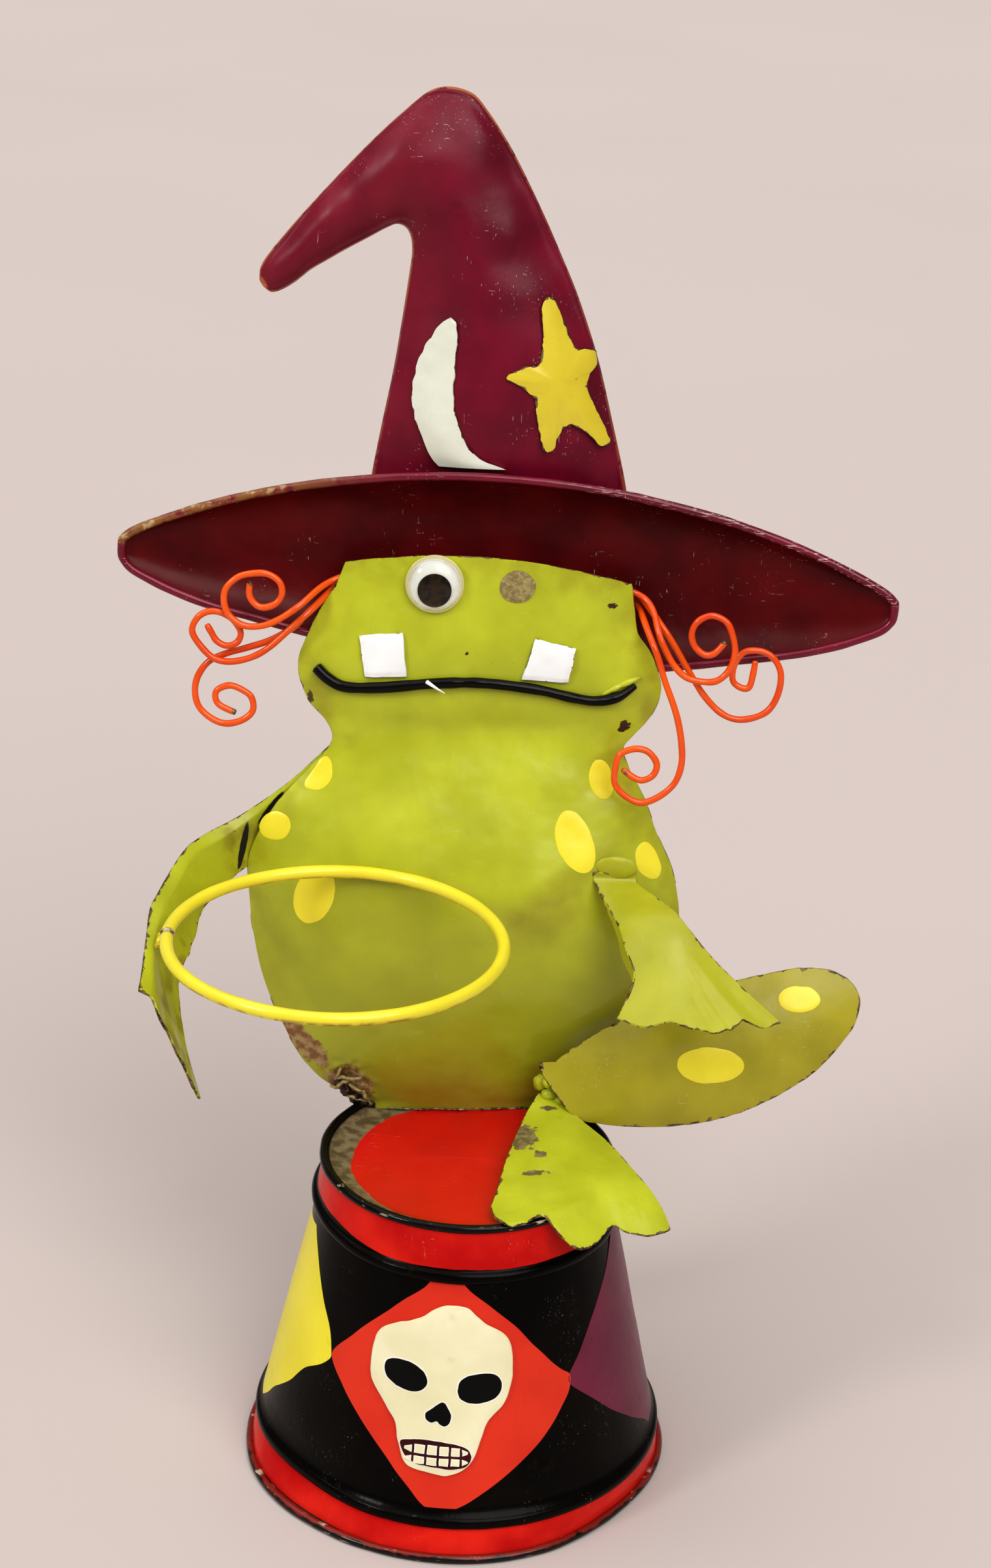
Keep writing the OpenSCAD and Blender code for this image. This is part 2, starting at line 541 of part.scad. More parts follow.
star_mid = [20, 259];
star_outline = [[14, 287.5], [16.5, 287.5], [17.5, 285.5], [21.5, 277], [24.5, 271], [28, 270.5],
    [31.5, 269.5], [32, 265], [30, 262], [29, 258], [31, 253.5], [34, 248], [37, 242], [38, 239.5],
    [36, 238], [34, 238.5], [30.5, 242], [26.5, 244.5], [23.5, 245.5], [20, 241.5], [19, 237],
    [17, 235.5], [15, 237], [14, 241.5], [12.5, 248], [11.5, 253.5], [9.5, 256], [5.5, 258.5], [2, 260],
    [2.5, 261.5], [5, 263], [8.5, 264.5], [12.5, 265.5], [13.5, 272], [13, 278.5], [12.5, 284]];
function on_star(e, k) =
    let (q = mix(star_mid, e, k))
    on_frog(q[0], q[1], crown_front(q[0], q[1]) + ornament_off + ornament_puff * (1 - k * k));
module star_plate() color(yellow) {
    rings = [for (k = [0.25, 0.5, 0.75, 1]) [for (e = star_outline) on_star(e, k)]];
    ringed_plate(on_star(star_mid, 0), rings, -front_dir, ornament_t);
}

// ---------- hair: six curls of wire, as x and s along the frog's plane ----------

hair_left_1 = [[-50, 191], [-58, 187.5], [-65, 182], [-72, 177], [-78, 174.5], [-84, 174.5], [-88.5, 177.5],
    [-90.5, 182], [-90, 187], [-86, 191], [-81, 192.5], [-76, 192.5], [-72, 190], [-71, 186], [-73, 182.5],
    [-77, 181], [-80, 182], [-82, 185], [-82, 189]];
hair_left_2 = [[-50, 190], [-60, 181], [-66.5, 175], [-71.5, 170], [-76.5, 165.5], [-82, 162.5],
    [-88.5, 161], [-94, 162], [-98.5, 166], [-101.5, 171], [-100, 175.5], [-96.5, 178], [-92, 178],
    [-87.5, 175.5], [-85, 171.5], [-86, 168], [-89.5, 166.5], [-93, 168], [-95, 171], [-96.5, 173.5]];
hair_left_3 = [[-50, 187], [-56, 183], [-62.5, 178.5], [-67, 173.5], [-75, 168.5], [-83, 165.5],
    [-90.5, 163], [-96, 160], [-99.5, 155], [-100.5, 149.5], [-99, 144], [-94.5, 140], [-89.5, 138.5],
    [-84, 140], [-80.5, 143.5], [-81, 148], [-84, 150.5], [-88.5, 152], [-92.5, 150.5], [-93.5, 148],
    [-92, 145], [-86.5, 142.5]];
hair_right_1 = [[47, 190], [52.5, 187.5], [55.5, 183.5], [57, 178.5], [59, 173.5], [62.5, 167.5],
    [67, 163], [72.5, 161.5], [78, 162], [82, 166], [83.5, 172], [82.5, 177.5], [80, 182.5], [75, 184.5],
    [70.5, 182.5], [68.5, 178.5], [69.5, 174], [73, 171], [76.5, 171.5], [80, 175.5]];
hair_right_2 = [[46, 190], [52, 186.5], [58.5, 179], [62.5, 173.5], [69.5, 162.5], [74, 156],
    [79.5, 150.5], [85, 148], [91, 148.5], [96.5, 151.5], [99.5, 157.5], [100, 164.5], [97.5, 169.5],
    [93.5, 172], [88, 172], [85, 169.5], [83.5, 165], [84, 161], [87, 159], [89.5, 159.5], [90.5, 164],
    [91, 168.5]];
hair_right_3 = [[45, 188], [50, 184.5], [53.5, 178], [57, 170.5], [60, 162], [63.5, 153.5], [65.5, 147.5],
    [67, 140.5], [67.5, 133], [65.5, 126], [60.5, 121], [54.5, 118.5], [49, 120.5], [45, 125],
    [45, 131.5], [46.5, 135.5], [51.5, 137.5], [56, 136.5], [59, 132.5], [58, 128.5], [54.5, 126.5],
    [51, 127.5], [47.5, 130]];

// A curl starts behind the head at n_start and comes forward to n_end, clear of the head
clear_of_head = 18;
module curl(p, n_start, n_end) color(orange)
    rod([for (q = open_curve(p, 3))
        on_frog(q[0], q[1], mix(n_start, n_end, ease((norm(q - p[0]) - 2) / clear_of_head)))],
        hair_wire_r, front_dir);
module hair_left_a() curl(hair_left_1, -2.6, 9.5);
module hair_left_b() curl(hair_left_2, -5.2, 6.5);
module hair_left_c() curl(hair_left_3, -7.8, 3.5);
module hair_right_a() curl(hair_right_1, -2.6, 7.5);
module hair_right_b() curl(hair_right_2, -5.2, 3.5);
module hair_right_c() curl(hair_right_3, -7.8, 10);
module hair_weld(x) color(green)
    for (p = [[0, 190, -2.4], [0, 189, -5], [0, 187, -7.6]])
        bead(on_frog(x, p[1], p[2]), 1.6);
module hair_weld_left() hair_weld(-48.6);
module hair_weld_right() hair_weld(44.4);

// ---------- assembly ----------

drum_wall();
drum_top_disc();
drum_top_rim();
drum_foot_rim();
skull_plate();
body_plate();
body_seat_weld();
leg_stub();
arm_plate();
shoulder_weld();
hoop();
hoop_weld();
hand_plate();
hand_weld();
thigh_plate();
foot_plate();
thigh_weld();
mouth_wire();
tooth_left();
tooth_right();
eye_back();
eye_dome();
eye_pupil();
eye_glue_spot();
hat_brim();
brim_rim();
hat_crown();
crown_weld();
moon_plate();
star_plate();
hair_left_a();
hair_left_b();
hair_left_c();
hair_right_a();
hair_right_b();
hair_right_c();
hair_weld_left();
hair_weld_right();
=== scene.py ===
"""Looks for the sheet-metal frog in a witch's hat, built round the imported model.

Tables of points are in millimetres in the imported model's own frame: +Z up, the origin at the
centre of the drum's foot, the frog facing -Y. MM turns them into metres.
"""
import math

import bpy
import numpy as np
from mathutils import Matrix


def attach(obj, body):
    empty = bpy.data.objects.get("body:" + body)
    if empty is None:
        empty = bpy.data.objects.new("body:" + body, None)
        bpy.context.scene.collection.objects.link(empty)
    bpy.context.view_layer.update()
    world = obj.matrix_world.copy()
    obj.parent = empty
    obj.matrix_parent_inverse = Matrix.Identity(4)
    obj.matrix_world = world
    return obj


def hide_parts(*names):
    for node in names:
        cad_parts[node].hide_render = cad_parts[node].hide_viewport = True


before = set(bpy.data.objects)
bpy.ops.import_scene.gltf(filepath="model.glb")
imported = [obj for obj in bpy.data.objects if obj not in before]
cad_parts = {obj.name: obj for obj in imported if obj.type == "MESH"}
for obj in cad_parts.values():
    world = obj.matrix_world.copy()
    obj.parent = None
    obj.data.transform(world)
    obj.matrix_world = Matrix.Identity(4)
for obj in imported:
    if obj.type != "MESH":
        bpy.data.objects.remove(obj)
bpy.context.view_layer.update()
MM = 0.001

# ---------- curves and relief ----------


def mix(a, b, k):
    return a + (b - a) * k


def ease(k):
    c = np.clip(k, 0, 1)
    return c * c * (3 - 2 * c)


def unit(v):
    length = np.linalg.norm(v, axis=-1, keepdims=True)
    return v / np.maximum(length, 1e-9)


def at(rows, s):
    """Smooth value at s of a table of (s, value) rows."""
    t = np.asarray(rows, float)
    last = len(t) - 1
    before = t[np.maximum(np.arange(last + 1) - 1, 0)]
    after = t[np.minimum(np.arange(last + 1) + 1, last)]
    slope = (after[:, 1] - before[:, 1]) / (after[:, 0] - before[:, 0])
    i = np.clip(np.searchsorted(t[:, 0], s, side="right") - 1, 0, last - 1)
    h = t[i + 1, 0] - t[i, 0]
    k = np.clip((s - t[i, 0]) / h, 0, 1)
    return ((2 * k**3 - 3 * k**2 + 1) * t[i, 1] + (3 * k**2 - 2 * k**3) * t[i + 1, 1]
            + h * (k**3 - 2 * k**2 + k) * slope[i] + h * (k**3 - k**2) * slope[i + 1])


def through(a, b, c, d, k):
    """One step of a smooth curve through b and c, with neighbours a and d."""
    return b + 0.5 * k * ((c - a) + k * (2 * a - 5 * b + 4 * c - d + k * (3 * (b - c) + d - a)))


def open_curve(points, n):
    p = np.asarray(points, float)
    e = len(p) - 1
    line = [through(p[max(i - 1, 0)], p[i], p[i + 1], p[min(i + 2, e)], k / n)
            for i in range(e) for k in range(n)]
    return np.array(line + [p[e]])


def closed_curve(points, n):
    p = np.asarray(points, float)
    m = len(p)
    return np.array([through(p[i - 1], p[i], p[(i + 1) % m], p[(i + 2) % m], k / n)
                     for i in range(m) for k in range(n)])


def lumps(x, y, size, seed):
    """Smooth random relief between -1 and 1, with bumps about size across."""
    rough = np.random.default_rng(seed).uniform(-1, 1, (64, 64))
    u, v = np.asarray(x, float) / size + 320, np.asarray(y, float) / size + 320
    i, j = np.floor(u).astype(int), np.floor(v).astype(int)
    a, b = ease(u - i), ease(v - j)
    i, j, i2, j2 = i % 64, j % 64, (i + 1) % 64, (j + 1) % 64
    return mix(mix(rough[i, j], rough[i2, j], a), mix(rough[i, j2], rough[i2, j2], a), b)


def hammered(x, y, seed, depth=0.35, size=15):
    """Relief of hand-hammered sheet: broad dents with finer ones over them."""
    return depth * (lumps(x, y, size, seed) + 0.45 * lumps(x, y, size * 0.45, seed + 1)
                    + 0.12 * lumps(x, y, size * 0.16, seed + 2))


# ---------- the frog's own plane ----------

LEAN = math.radians(8)
SEAT_Y, SEAT_Z = 35, 115
FRONT = np.array([0, -math.cos(LEAN), math.sin(LEAN)])
UP = np.array([0, math.sin(LEAN), math.cos(LEAN)])
RIGHT = np.array([1.0, 0, 0])
SEAT = np.array([0, SEAT_Y, SEAT_Z])


def on_frog(x, s, n):
    """x runs right, s up along the leaning sheet from its foot, n out to the front."""
    x, s, n = np.broadcast_arrays(np.asarray(x, float), s, n)
    return SEAT + x[..., None] * RIGHT + s[..., None] * UP + n[..., None] * FRONT


# ---------- mesh building ----------

FIGURE = "figure"


def piece(name, verts, faces, material, slot, replaces=(), body=FIGURE, edge=None, sharp=35):
    """A mesh piece from points in millimetres. edge is each point's distance from a cut edge."""
    mesh = bpy.data.meshes.new(name)
    mesh.from_pydata((np.asarray(verts, float) * MM).tolist(), [], [list(map(int, f)) for f in faces])
    mesh.validate()
    mesh.update()
    mesh.shade_smooth()
    mesh.set_sharp_from_angle(angle=math.radians(sharp))
    far_from_edge = np.full(len(mesh.vertices), 50.0)
    layer = mesh.attributes.new("edge_mm", "FLOAT", "POINT")
    layer.data.foreach_set("value", (far_from_edge if edge is None else edge).astype(np.float32))
    for m in material if isinstance(material, (list, tuple)) else [material]:
        mesh.materials.append(m)
    obj = bpy.data.objects.new(name, mesh)
    bpy.context.scene.collection.objects.link(obj)
    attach(obj, body)
    if replaces:
        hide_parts(*replaces)
    return obj


def joined(parts):
    """Several (verts, faces, edge) meshes as one."""
    verts, faces, edges, start = [], [], [], 0
    for v, f, e in parts:
        verts.append(v)
        edges.append(e)
        faces += [[i + start for i in face] for face in f]
        start += len(v)
    return np.concatenate(verts), faces, np.concatenate(edges)


def grid_normals(g):
    return unit(np.cross(np.gradient(g, axis=1), np.gradient(g, axis=0)))


def sheet_mesh(g, t, lip=0.3):
    """A sheet of thickness t behind a grid of front points, its cut edge rounded by lip * t.

    Rows run up and columns run right, as seen from the front.
    """
    n, m = g.shape[:2]
    normal = grid_normals(g)
    back = g - t * normal
    ring = ([(0, j) for j in range(m)] + [(i, m - 1) for i in range(1, n)]
            + [(n - 1, j) for j in range(m - 2, -1, -1)] + [(i, 0) for i in range(n - 2, 0, -1)])
    inward = [(min(max(i, 1), n - 2), min(max(j, 1), m - 2)) for i, j in ring]
    out = unit(np.array([g[a] - g[b] for a, b in zip(ring, inward)]))
    middle = np.array([(g[a] + back[a]) / 2 for a in ring]) + lip * t * out
    verts = np.concatenate([g.reshape(-1, 3), back.reshape(-1, 3), middle])
    faces = []
    for i in range(n - 1):
        for j in range(m - 1):
            a, b, c, d = i * m + j, i * m + j + 1, (i + 1) * m + j + 1, (i + 1) * m + j
            faces.append((a, b, c, d))
            faces.append((n * m + a, n * m + d, n * m + c, n * m + b))
    for k in range(len(ring)):
        k2 = (k + 1) % len(ring)
        a, b = ring[k][0] * m + ring[k][1], ring[k2][0] * m + ring[k2][1]
        c, d = 2 * n * m + k, 2 * n * m + k2
        faces.append((b, a, c, d))
        faces.append((d, c, n * m + a, n * m + b))
    rows = np.concatenate([np.zeros((1, m)), np.cumsum(np.linalg.norm(np.diff(g, axis=0), axis=2), axis=0)])
    cols = np.concatenate([np.zeros((n, 1)), np.cumsum(np.linalg.norm(np.diff(g, axis=1), axis=2), axis=1)],
                          axis=1)
    edge = np.minimum(np.minimum(rows, rows[-1:] - rows), np.minimum(cols, cols[:, -1:] - cols)).ravel()
    return verts, faces, np.concatenate([edge, edge, np.full(len(ring), -1.0)])


def ringed_mesh(centre, rings, back_dir, t, lip=0.3):
    """A plate of thickness t behind rings of front points, clockwise as seen from the front."""
    rings = np.asarray(rings, float)
    n, m = rings.shape[:2]
    front = np.concatenate([[centre], rings.reshape(-1, 3)])
    total = len(front)
    back = front + t * unit(np.asarray(back_dir, float))
    outer = rings[-1]
    middle = outer + 0.5 * t * unit(np.asarray(back_dir, float)) + lip * t * unit(outer - rings[-2])
    faces = []
    for j in range(m):
        j2 = (j + 1) % m
        faces.append((0, 1 + j, 1 + j2))
        faces.append((total, total + 1 + j2, total + 1 + j))
        for i in range(n - 1):
            a, b, c, d = 1 + i * m + j, 1 + (i + 1) * m + j, 1 + (i + 1) * m + j2, 1 + i * m + j2
            faces.append((a, b, c, d))
            faces.append((total + a, total + d, total + c, total + b))
        a, b = 1 + (n - 1) * m + j, 1 + (n - 1) * m + j2
        c, d = 2 * total + j, 2 * total + j2
        faces.append((a, c, d, b))
        faces.append((c, total + a, total + b, d))
    reach = np.linalg.norm(rings - outer[None], axis=2).ravel()
    edge = np.concatenate([[reach.max()], reach])
    return np.concatenate([front, back, middle]), faces, np.concatenate([edge, edge, np.full(m, -1.0)])


def rod_mesh(path, radius, sides=18, closed=False, blunt=0.5):
    """A rod along a path. radius is one value or one per point; blunt rounds the cut ends."""
    path = np.asarray(path, float)
    radius = np.broadcast_to(np.asarray(radius, float), (len(path),)).copy()
    if not closed:
        first, last = unit(path[0] - path[1]), unit(path[-1] - path[-2])
        path = np.concatenate([[path[0] + 0.25 * radius[0] * first], path, [path[-1] + 0.25 * radius[-1] * last]])
        radius = np.concatenate([[radius[0] * blunt], radius, [radius[-1] * blunt]])
    n = len(path)
    if closed:
        along = unit(np.roll(path, -1, 0) - np.roll(path, 1, 0))
    else:
        along = unit(np.gradient(path, axis=0))
    side = unit(np.cross(along[0], [0.3, 0.2, 1.0]))
    frames = []
    for a in along:
        side = unit(side - a * np.dot(side, a))
        frames.append((side, np.cross(a, side)))
    if closed:
        frames = [(unit(np.cross(a, [0, 0, 1.0])), np.cross(a, unit(np.cross(a, [0, 0, 1.0])))) for a in along]
    turn = np.arange(sides) * 2 * math.pi / sides
    verts = np.array([p + r * (math.cos(w) * f[0] + math.sin(w) * f[1])
                      for p, r, f in zip(path, radius, frames) for w in turn])
    faces = []
    for i in range(n if closed else n - 1):
        for k in range(sides):
            a, b = i * sides + k, i * sides + (k + 1) % sides
            c, d = (i + 1) % n * sides + (k + 1) % sides, (i + 1) % n * sides + k
            faces.append((a, b, c, d))
    if not closed:
        faces.append(tuple(range(sides - 1, -1, -1)))
        faces.append(tuple((n - 1) * sides + k for k in range(sides)))
    steps = np.linalg.norm(np.diff(path, axis=0), axis=1)
    run = np.concatenate([[0], np.cumsum(steps)])
    ends = np.full(n, 50.0) if closed else np.minimum(run, run[-1] - run)
    return verts, faces, np.repeat(ends, sides)


def lathe_mesh(profile, segments, centre=(0, 0, 0), axes=None, closed=False, wobble=None):
    """A profile of (radius, height) points turned about an axis; wobble moves each ring's points."""
    p = np.asarray(profile, float)
    turn = np.arange(segments) * 2 * math.pi / segments
    right, forward, up = axes if axes else (RIGHT, np.array([0, -1.0, 0]), np.array([0, 0, 1.0]))
    r = np.repeat(p[:, :1], segments, 1)
    h = np.repeat(p[:, 1:], segments, 1)
    if wobble:
        r, h = wobble(r, h, np.degrees(turn)[None, :])
    ring = r[..., None] * (np.sin(turn)[None, :, None] * right + np.cos(turn)[None, :, None] * forward)
    verts = (np.asarray(centre, float) + ring + h[..., None] * up).reshape(-1, 3)
    n = len(p)
    faces = []
    for i in range(n if closed else n - 1):
        for k in range(segments):
            a, b = i * segments + k, i * segments + (k + 1) % segments
            c, d = (i + 1) % n * segments + (k + 1) % segments, (i + 1) % n * segments + k
            faces.append((a, b, c, d))
    return verts, faces, np.full(len(verts), 50.0)


def blob_mesh(centre, size, seed, rings=14, sides=20, rough=0.18):
    """A lump of weld metal or thick paint."""
    tilt = np.linspace(0.02, math.pi - 0.02, rings)[:, None]
    turn = (np.arange(sides) * 2 * math.pi / sides)[None, :]
    ball = np.stack([np.sin(tilt) * np.cos(turn), np.sin(tilt) * np.sin(turn), np.cos(tilt) + 0 * turn], -1)
    swell = 1 + rough * lumps(ball[..., 0] * 3 + ball[..., 2], ball[..., 1] * 3, 1.1, seed)
    swell = swell + 0.5 * rough * lumps(ball[..., 0] * 3, ball[..., 1] * 3 + ball[..., 2] * 2, 0.5, seed + 1)
    verts = (np.asarray(centre, float) + ball * swell[..., None] * np.asarray(size, float)).reshape(-1, 3)
    faces = [(i * sides + k, (i + 1) * sides + k, (i + 1) * sides + (k + 1) % sides, i * sides + (k + 1) % sides)
             for i in range(rings - 1) for k in range(sides)]
    faces.append(tuple(range(sides)))
    faces.append(tuple((rings - 1) * sides + k for k in range(sides - 1, -1, -1)))
    return verts, faces, np.full(len(verts), 50.0)


# ---------- materials ----------


class Tree:
    """A material's nodes, with short names for the few kinds that are used here."""

    def __init__(self, name):
        self.material = bpy.data.materials.new(name)
        self.material.use_nodes = True
        self.nodes = self.material.node_tree.nodes
        self.links = self.material.node_tree.links
        self.shader = self.nodes["Principled BSDF"]
        self.place = self.add("ShaderNodeTexCoord").outputs["Object"]

    def add(self, kind, inputs=None, **settings):
        node = self.nodes.new(kind)
        for key, value in settings.items():
            setattr(node, key, value)
        for key, value in (inputs or {}).items():
            self.put(node.inputs[key], value)
        return node

    def put(self, socket, value):
        if isinstance(value, bpy.types.NodeSocket):
            self.links.new(value, socket)
        else:
            socket.default_value = value

    def math(self, operation, a, b=0.0, c=0.0, clamp=False):
        node = self.add("ShaderNodeMath", {0: a, 1: b, 2: c}, operation=operation, use_clamp=clamp)
        return node.outputs[0]

    def noise(self, size_mm, detail=2.0, place=None, roughness=0.5, distortion=0.0):
        """Noise with features about size_mm across."""
        node = self.add("ShaderNodeTexNoise", {"Vector": place or self.place, "Scale": 1 / (size_mm * MM),
                                               "Detail": detail, "Roughness": roughness,
                                               "Distortion": distortion})
        return node.outputs["Fac"]

    def step(self, value, low, high):
        """0 below low, 1 above high, smooth between; low may be above high."""
        node = self.add("ShaderNodeMapRange", {"Value": value, "From Min": low, "From Max": high},
                        interpolation_type="SMOOTHSTEP")
        return node.outputs["Result"]

    def colours(self, factor, a, b):
        node = self.add("ShaderNodeMix", data_type="RGBA", clamp_factor=True)
        for index, value in ((0, factor), (6, a), (7, b)):
            self.put(node.inputs[index], (*value, 1) if isinstance(value, tuple) else value)
        return node.outputs[2]

    def stretched(self, sx, sy, sz, turn=(0, 0, 0)):
        node = self.add("ShaderNodeMapping", {"Vector": self.place, "Scale": (sx, sy, sz), "Rotation": turn})
        return node.outputs["Vector"]

    def axis(self, index):
        """One coordinate in millimetres."""
        parts = self.add("ShaderNodeSeparateXYZ", {"Vector": self.place})
        return self.math("MULTIPLY", parts.outputs[index], 1 / MM)

    def attribute(self, name):
        return self.add("ShaderNodeAttribute", attribute_name=name).outputs["Fac"]

    def patch(self, centre, half, turn=0.0, soft=0.35, ragged=0.25, grain_mm=3.0):
        """1 inside an ellipse of x and z, in millimetres, with a ragged outline."""
        x = self.math("SUBTRACT", self.axis(0), centre[0])
        z = self.math("SUBTRACT", self.axis(2), centre[1])
        c, s = math.cos(math.radians(turn)), math.sin(math.radians(turn))
        a = self.math("ADD", self.math("MULTIPLY", x, c / half[0]), self.math("MULTIPLY", z, s / half[0]))
        b = self.math("ADD", self.math("MULTIPLY", x, -s / half[1]), self.math("MULTIPLY", z, c / half[1]))
        away = self.math("SQRT", self.math("ADD", self.math("MULTIPLY", a, a), self.math("MULTIPLY", b, b)))
        wander = self.math("MULTIPLY", self.math("SUBTRACT", self.noise(grain_mm, 4), 0.5), 4 * ragged)
        return self.step(self.math("ADD", away, wander), 1 + soft / 2, 1 - soft / 2)


RUST = (0.045, 0.018, 0.008)
BARE = (0.22, 0.16, 0.075)
GRIME = (0.10, 0.075, 0.01)


def enamel(name, light, dark, rough=0.2, chips=0.5, grime=0.25, scratches=0.3, bump=0.25, coat=0.15,
           chip_mm=1.1, grime_colour=GRIME, gloss=0.4, extra=None):
    """Brushed gloss paint on sheet metal: uneven colour, smudges, hair scratches and chipped edges.

    extra(tree, colour, rough) may change the colour and roughness before the chips go on.
    """
    t = Tree(name)
    colour = t.colours(t.step(t.noise(26, 3), 0.3, 0.72), dark, light)
    brush = t.noise(2.2, 3, t.stretched(1, 1, 0.18, (0.0, 0.5, 0.3)))
    colour = t.colours(t.math("MULTIPLY", t.step(brush, 0.35, 0.8), 0.12), colour, dark)
    smudge = t.math("MULTIPLY", t.step(t.noise(9, 5, roughness=0.65), 0.6, 0.74), grime)
    colour = t.colours(smudge, colour, grime_colour)
    roughness = t.math("ADD", t.math("MULTIPLY", t.noise(7, 4), 0.16), rough - 0.08)
    if extra:
        colour, roughness = extra(t, colour, roughness)
    # hair scratches: short fine lines two ways, only here and there
    one_way = t.noise(0.45, 1, t.stretched(1, 1, 0.06, (0.2, 0.6, 0.3)))
    other_way = t.noise(0.45, 1, t.stretched(0.06, 1, 1, (0.3, 0.35, 0.2)))
    hair = t.step(t.math("MAXIMUM", one_way, other_way), 0.72, 0.76)
    hair = t.math("MULTIPLY", hair, t.step(t.noise(17, 2), 0.54, 0.62))
    colour = t.colours(t.math("MULTIPLY", hair, scratches), colour, (0.75, 0.7, 0.6))
    # chips: bare and rusty metal along cut edges, and rare small flecks elsewhere
    edge = t.step(t.attribute("edge_mm"), chip_mm * 1.6, -1.0)
    fleck = t.step(t.noise(1.5, 3, roughness=0.6), 0.735, 0.75)
    fleck = t.math("MULTIPLY", fleck, t.step(t.noise(14, 2), 0.5, 0.62))
    torn = t.math("ADD", t.noise(3.6, 5, roughness=0.6), t.math("MULTIPLY", edge, 0.34))
    torn = t.step(torn, 0.86 - 0.14 * chips, 0.88 - 0.14 * chips)
    chip = t.math("MAXIMUM", torn, t.math("MULTIPLY", fleck, min(chips, 1.0)), clamp=True)
    metal = t.colours(t.step(t.noise(1.8, 4), 0.4, 0.62), RUST, BARE)
    colour = t.colours(chip, colour, metal)
    roughness = t.math("ADD", roughness, t.math("MULTIPLY", chip, 0.35), clamp=True)
    t.put(t.shader.inputs["Base Color"], colour)
    t.put(t.shader.inputs["Roughness"], roughness)
    t.put(t.shader.inputs["Metallic"], t.math("MULTIPLY", chip, 0.6))
    t.shader.inputs["Coat Weight"].default_value = coat
    t.shader.inputs["Coat Roughness"].default_value = 0.12
    t.shader.inputs["Specular IOR Level"].default_value = gloss
    height = t.math("ADD", t.math("MULTIPLY", t.noise(1.6, 3), 0.35), t.math("MULTIPLY", brush, 0.5))
    height = t.math("ADD", height, t.math("MULTIPLY", t.noise(6, 2), 0.9))
    height = t.math("SUBTRACT", height, t.math("MULTIPLY", chip, 0.7))
    height = t.math("SUBTRACT", height, t.math("MULTIPLY", hair, 0.3))
    bumped = t.add("ShaderNodeBump", {"Height": height, "Strength": bump, "Distance": 0.35 * MM})
    t.put(t.shader.inputs["Normal"], bumped.outputs["Normal"])
    return t.material


GREEN, GREEN_SHADE = (0.49, 0.535, 0.028), (0.385, 0.415, 0.017)
YELLOW, YELLOW_SHADE = (0.82, 0.73, 0.045), (0.74, 0.64, 0.030)
MAROON, MAROON_SHADE = (0.190, 0.005, 0.027), (0.112, 0.003, 0.016)
BRIM, BRIM_SHADE = (0.108, 0.003, 0.0045), (0.056, 0.0015, 0.003)
RED, RED_SHADE = (0.60, 0.010, 0.008), (0.46, 0.006, 0.006)
SCARLET, SCARLET_SHADE = (0.66, 0.040, 0.014), (0.58, 0.028, 0.012)
ORANGE, ORANGE_SHADE = (0.84, 0.115, 0.004), (0.68, 0.065, 0.003)
BLACK, BLACK_SHADE = (0.004, 0.0035, 0.003), (0.002, 0.002, 0.002)
CREAM, CREAM_SHADE = (0.80, 0.77, 0.54), (0.70, 0.66, 0.42)
IVORY, IVORY_SHADE = (0.76, 0.79, 0.69), (0.68, 0.71, 0.60)
WHITE, WHITE_SHADE = (0.88, 0.90, 0.92), (0.80, 0.82, 0.83)
PURPLE, PURPLE_SHADE = (0.17, 0.018, 0.050), (0.12, 0.012, 0.036)
BROWN = (0.16, 0.055, 0.018)
OLIVE = (0.14, 0.12, 0.010)


# Small rusty specks and darker smudges on the body, some of the smudges painted shade under the jaw and painted shadow
# below and left of the hand: middle (x, z), half sizes and turn
SPECKS = [((47.6, 257), (2.4, 1.6), 30), ((41.3, 298.7), (1.7, 0.9), 0), ((-61, 262), (1.0, 2.2), 10),
          ((-54.5, 301), (0.9, 2.8), -30), ((46, 307), (1.1, 1.4), 0), ((-7.7, 281.6), (0.55, 0.5), 0)]
SMUDGES_AND_SHADE = [((45, 246), (9, 3), 25), ((-57, 262), (4, 7), 0), ((30, 205), (24, 4.5), 38), ((56, 262), (3, 6), 0),
           ((25, 191), (13, 6), 28)]


def belly_wear_and_shade(t, colour, rough):
    """Brown bared streak and torn corner at the left, where the missing leg was, and painted shade: darker green low
    down and along the edges.
    """
    # painted shade: the green darkens towards the bottom of the body
    low = t.math("MULTIPLY", t.step(t.axis(2), 240, 150), 0.72)
    colour = t.colours(low, colour, (0.25, 0.25, 0.014))
    # painted shade: darker green along the body's cut edges, mottled
    side = t.math("MULTIPLY", t.step(t.attribute("edge_mm"), 16, 1), t.step(t.noise(9, 3), 0.35, 0.65))
    colour = t.colours(t.math("MULTIPLY", side, 0.4), colour, (0.27, 0.23, 0.012))
    tan = t.math("MULTIPLY", t.patch((-33, 128), (30, 7), 8, 1.0, 0.3, 8), 0.2)
    colour = t.colours(tan, colour, (0.20, 0.10, 0.012))
    streak = t.patch((-59, 140), (11, 4.3), -42, 0.3, 0.2, 2.5)
    scar = t.patch((-43, 125), (9, 8), -40, 0.3, 0.3, 2.0)
    bare = t.math("MAXIMUM", streak, scar)
    skin = t.colours(t.step(t.noise(2.5, 5), 0.38, 0.62), BROWN, (0.30, 0.20, 0.10))
    colour = t.colours(t.math("MULTIPLY", bare, 0.92), colour, skin)
    for centre, half, turn in SPECKS:
        colour = t.colours(t.patch(centre, half, turn, 0.3, 0.6, 1.2), colour, RUST)
    # darker smudges, some of them painted shade under the jaw and painted shadow below and left of the hand
    for centre, half, turn in SMUDGES_AND_SHADE:
        smudge = t.math("MULTIPLY", t.patch(centre, half, turn, 1.4, 0.35, 6), 0.4)
        colour = t.colours(smudge, colour, (0.24, 0.20, 0.012))
    return colour, t.math("ADD", rough, t.math("MULTIPLY", bare, 0.35))


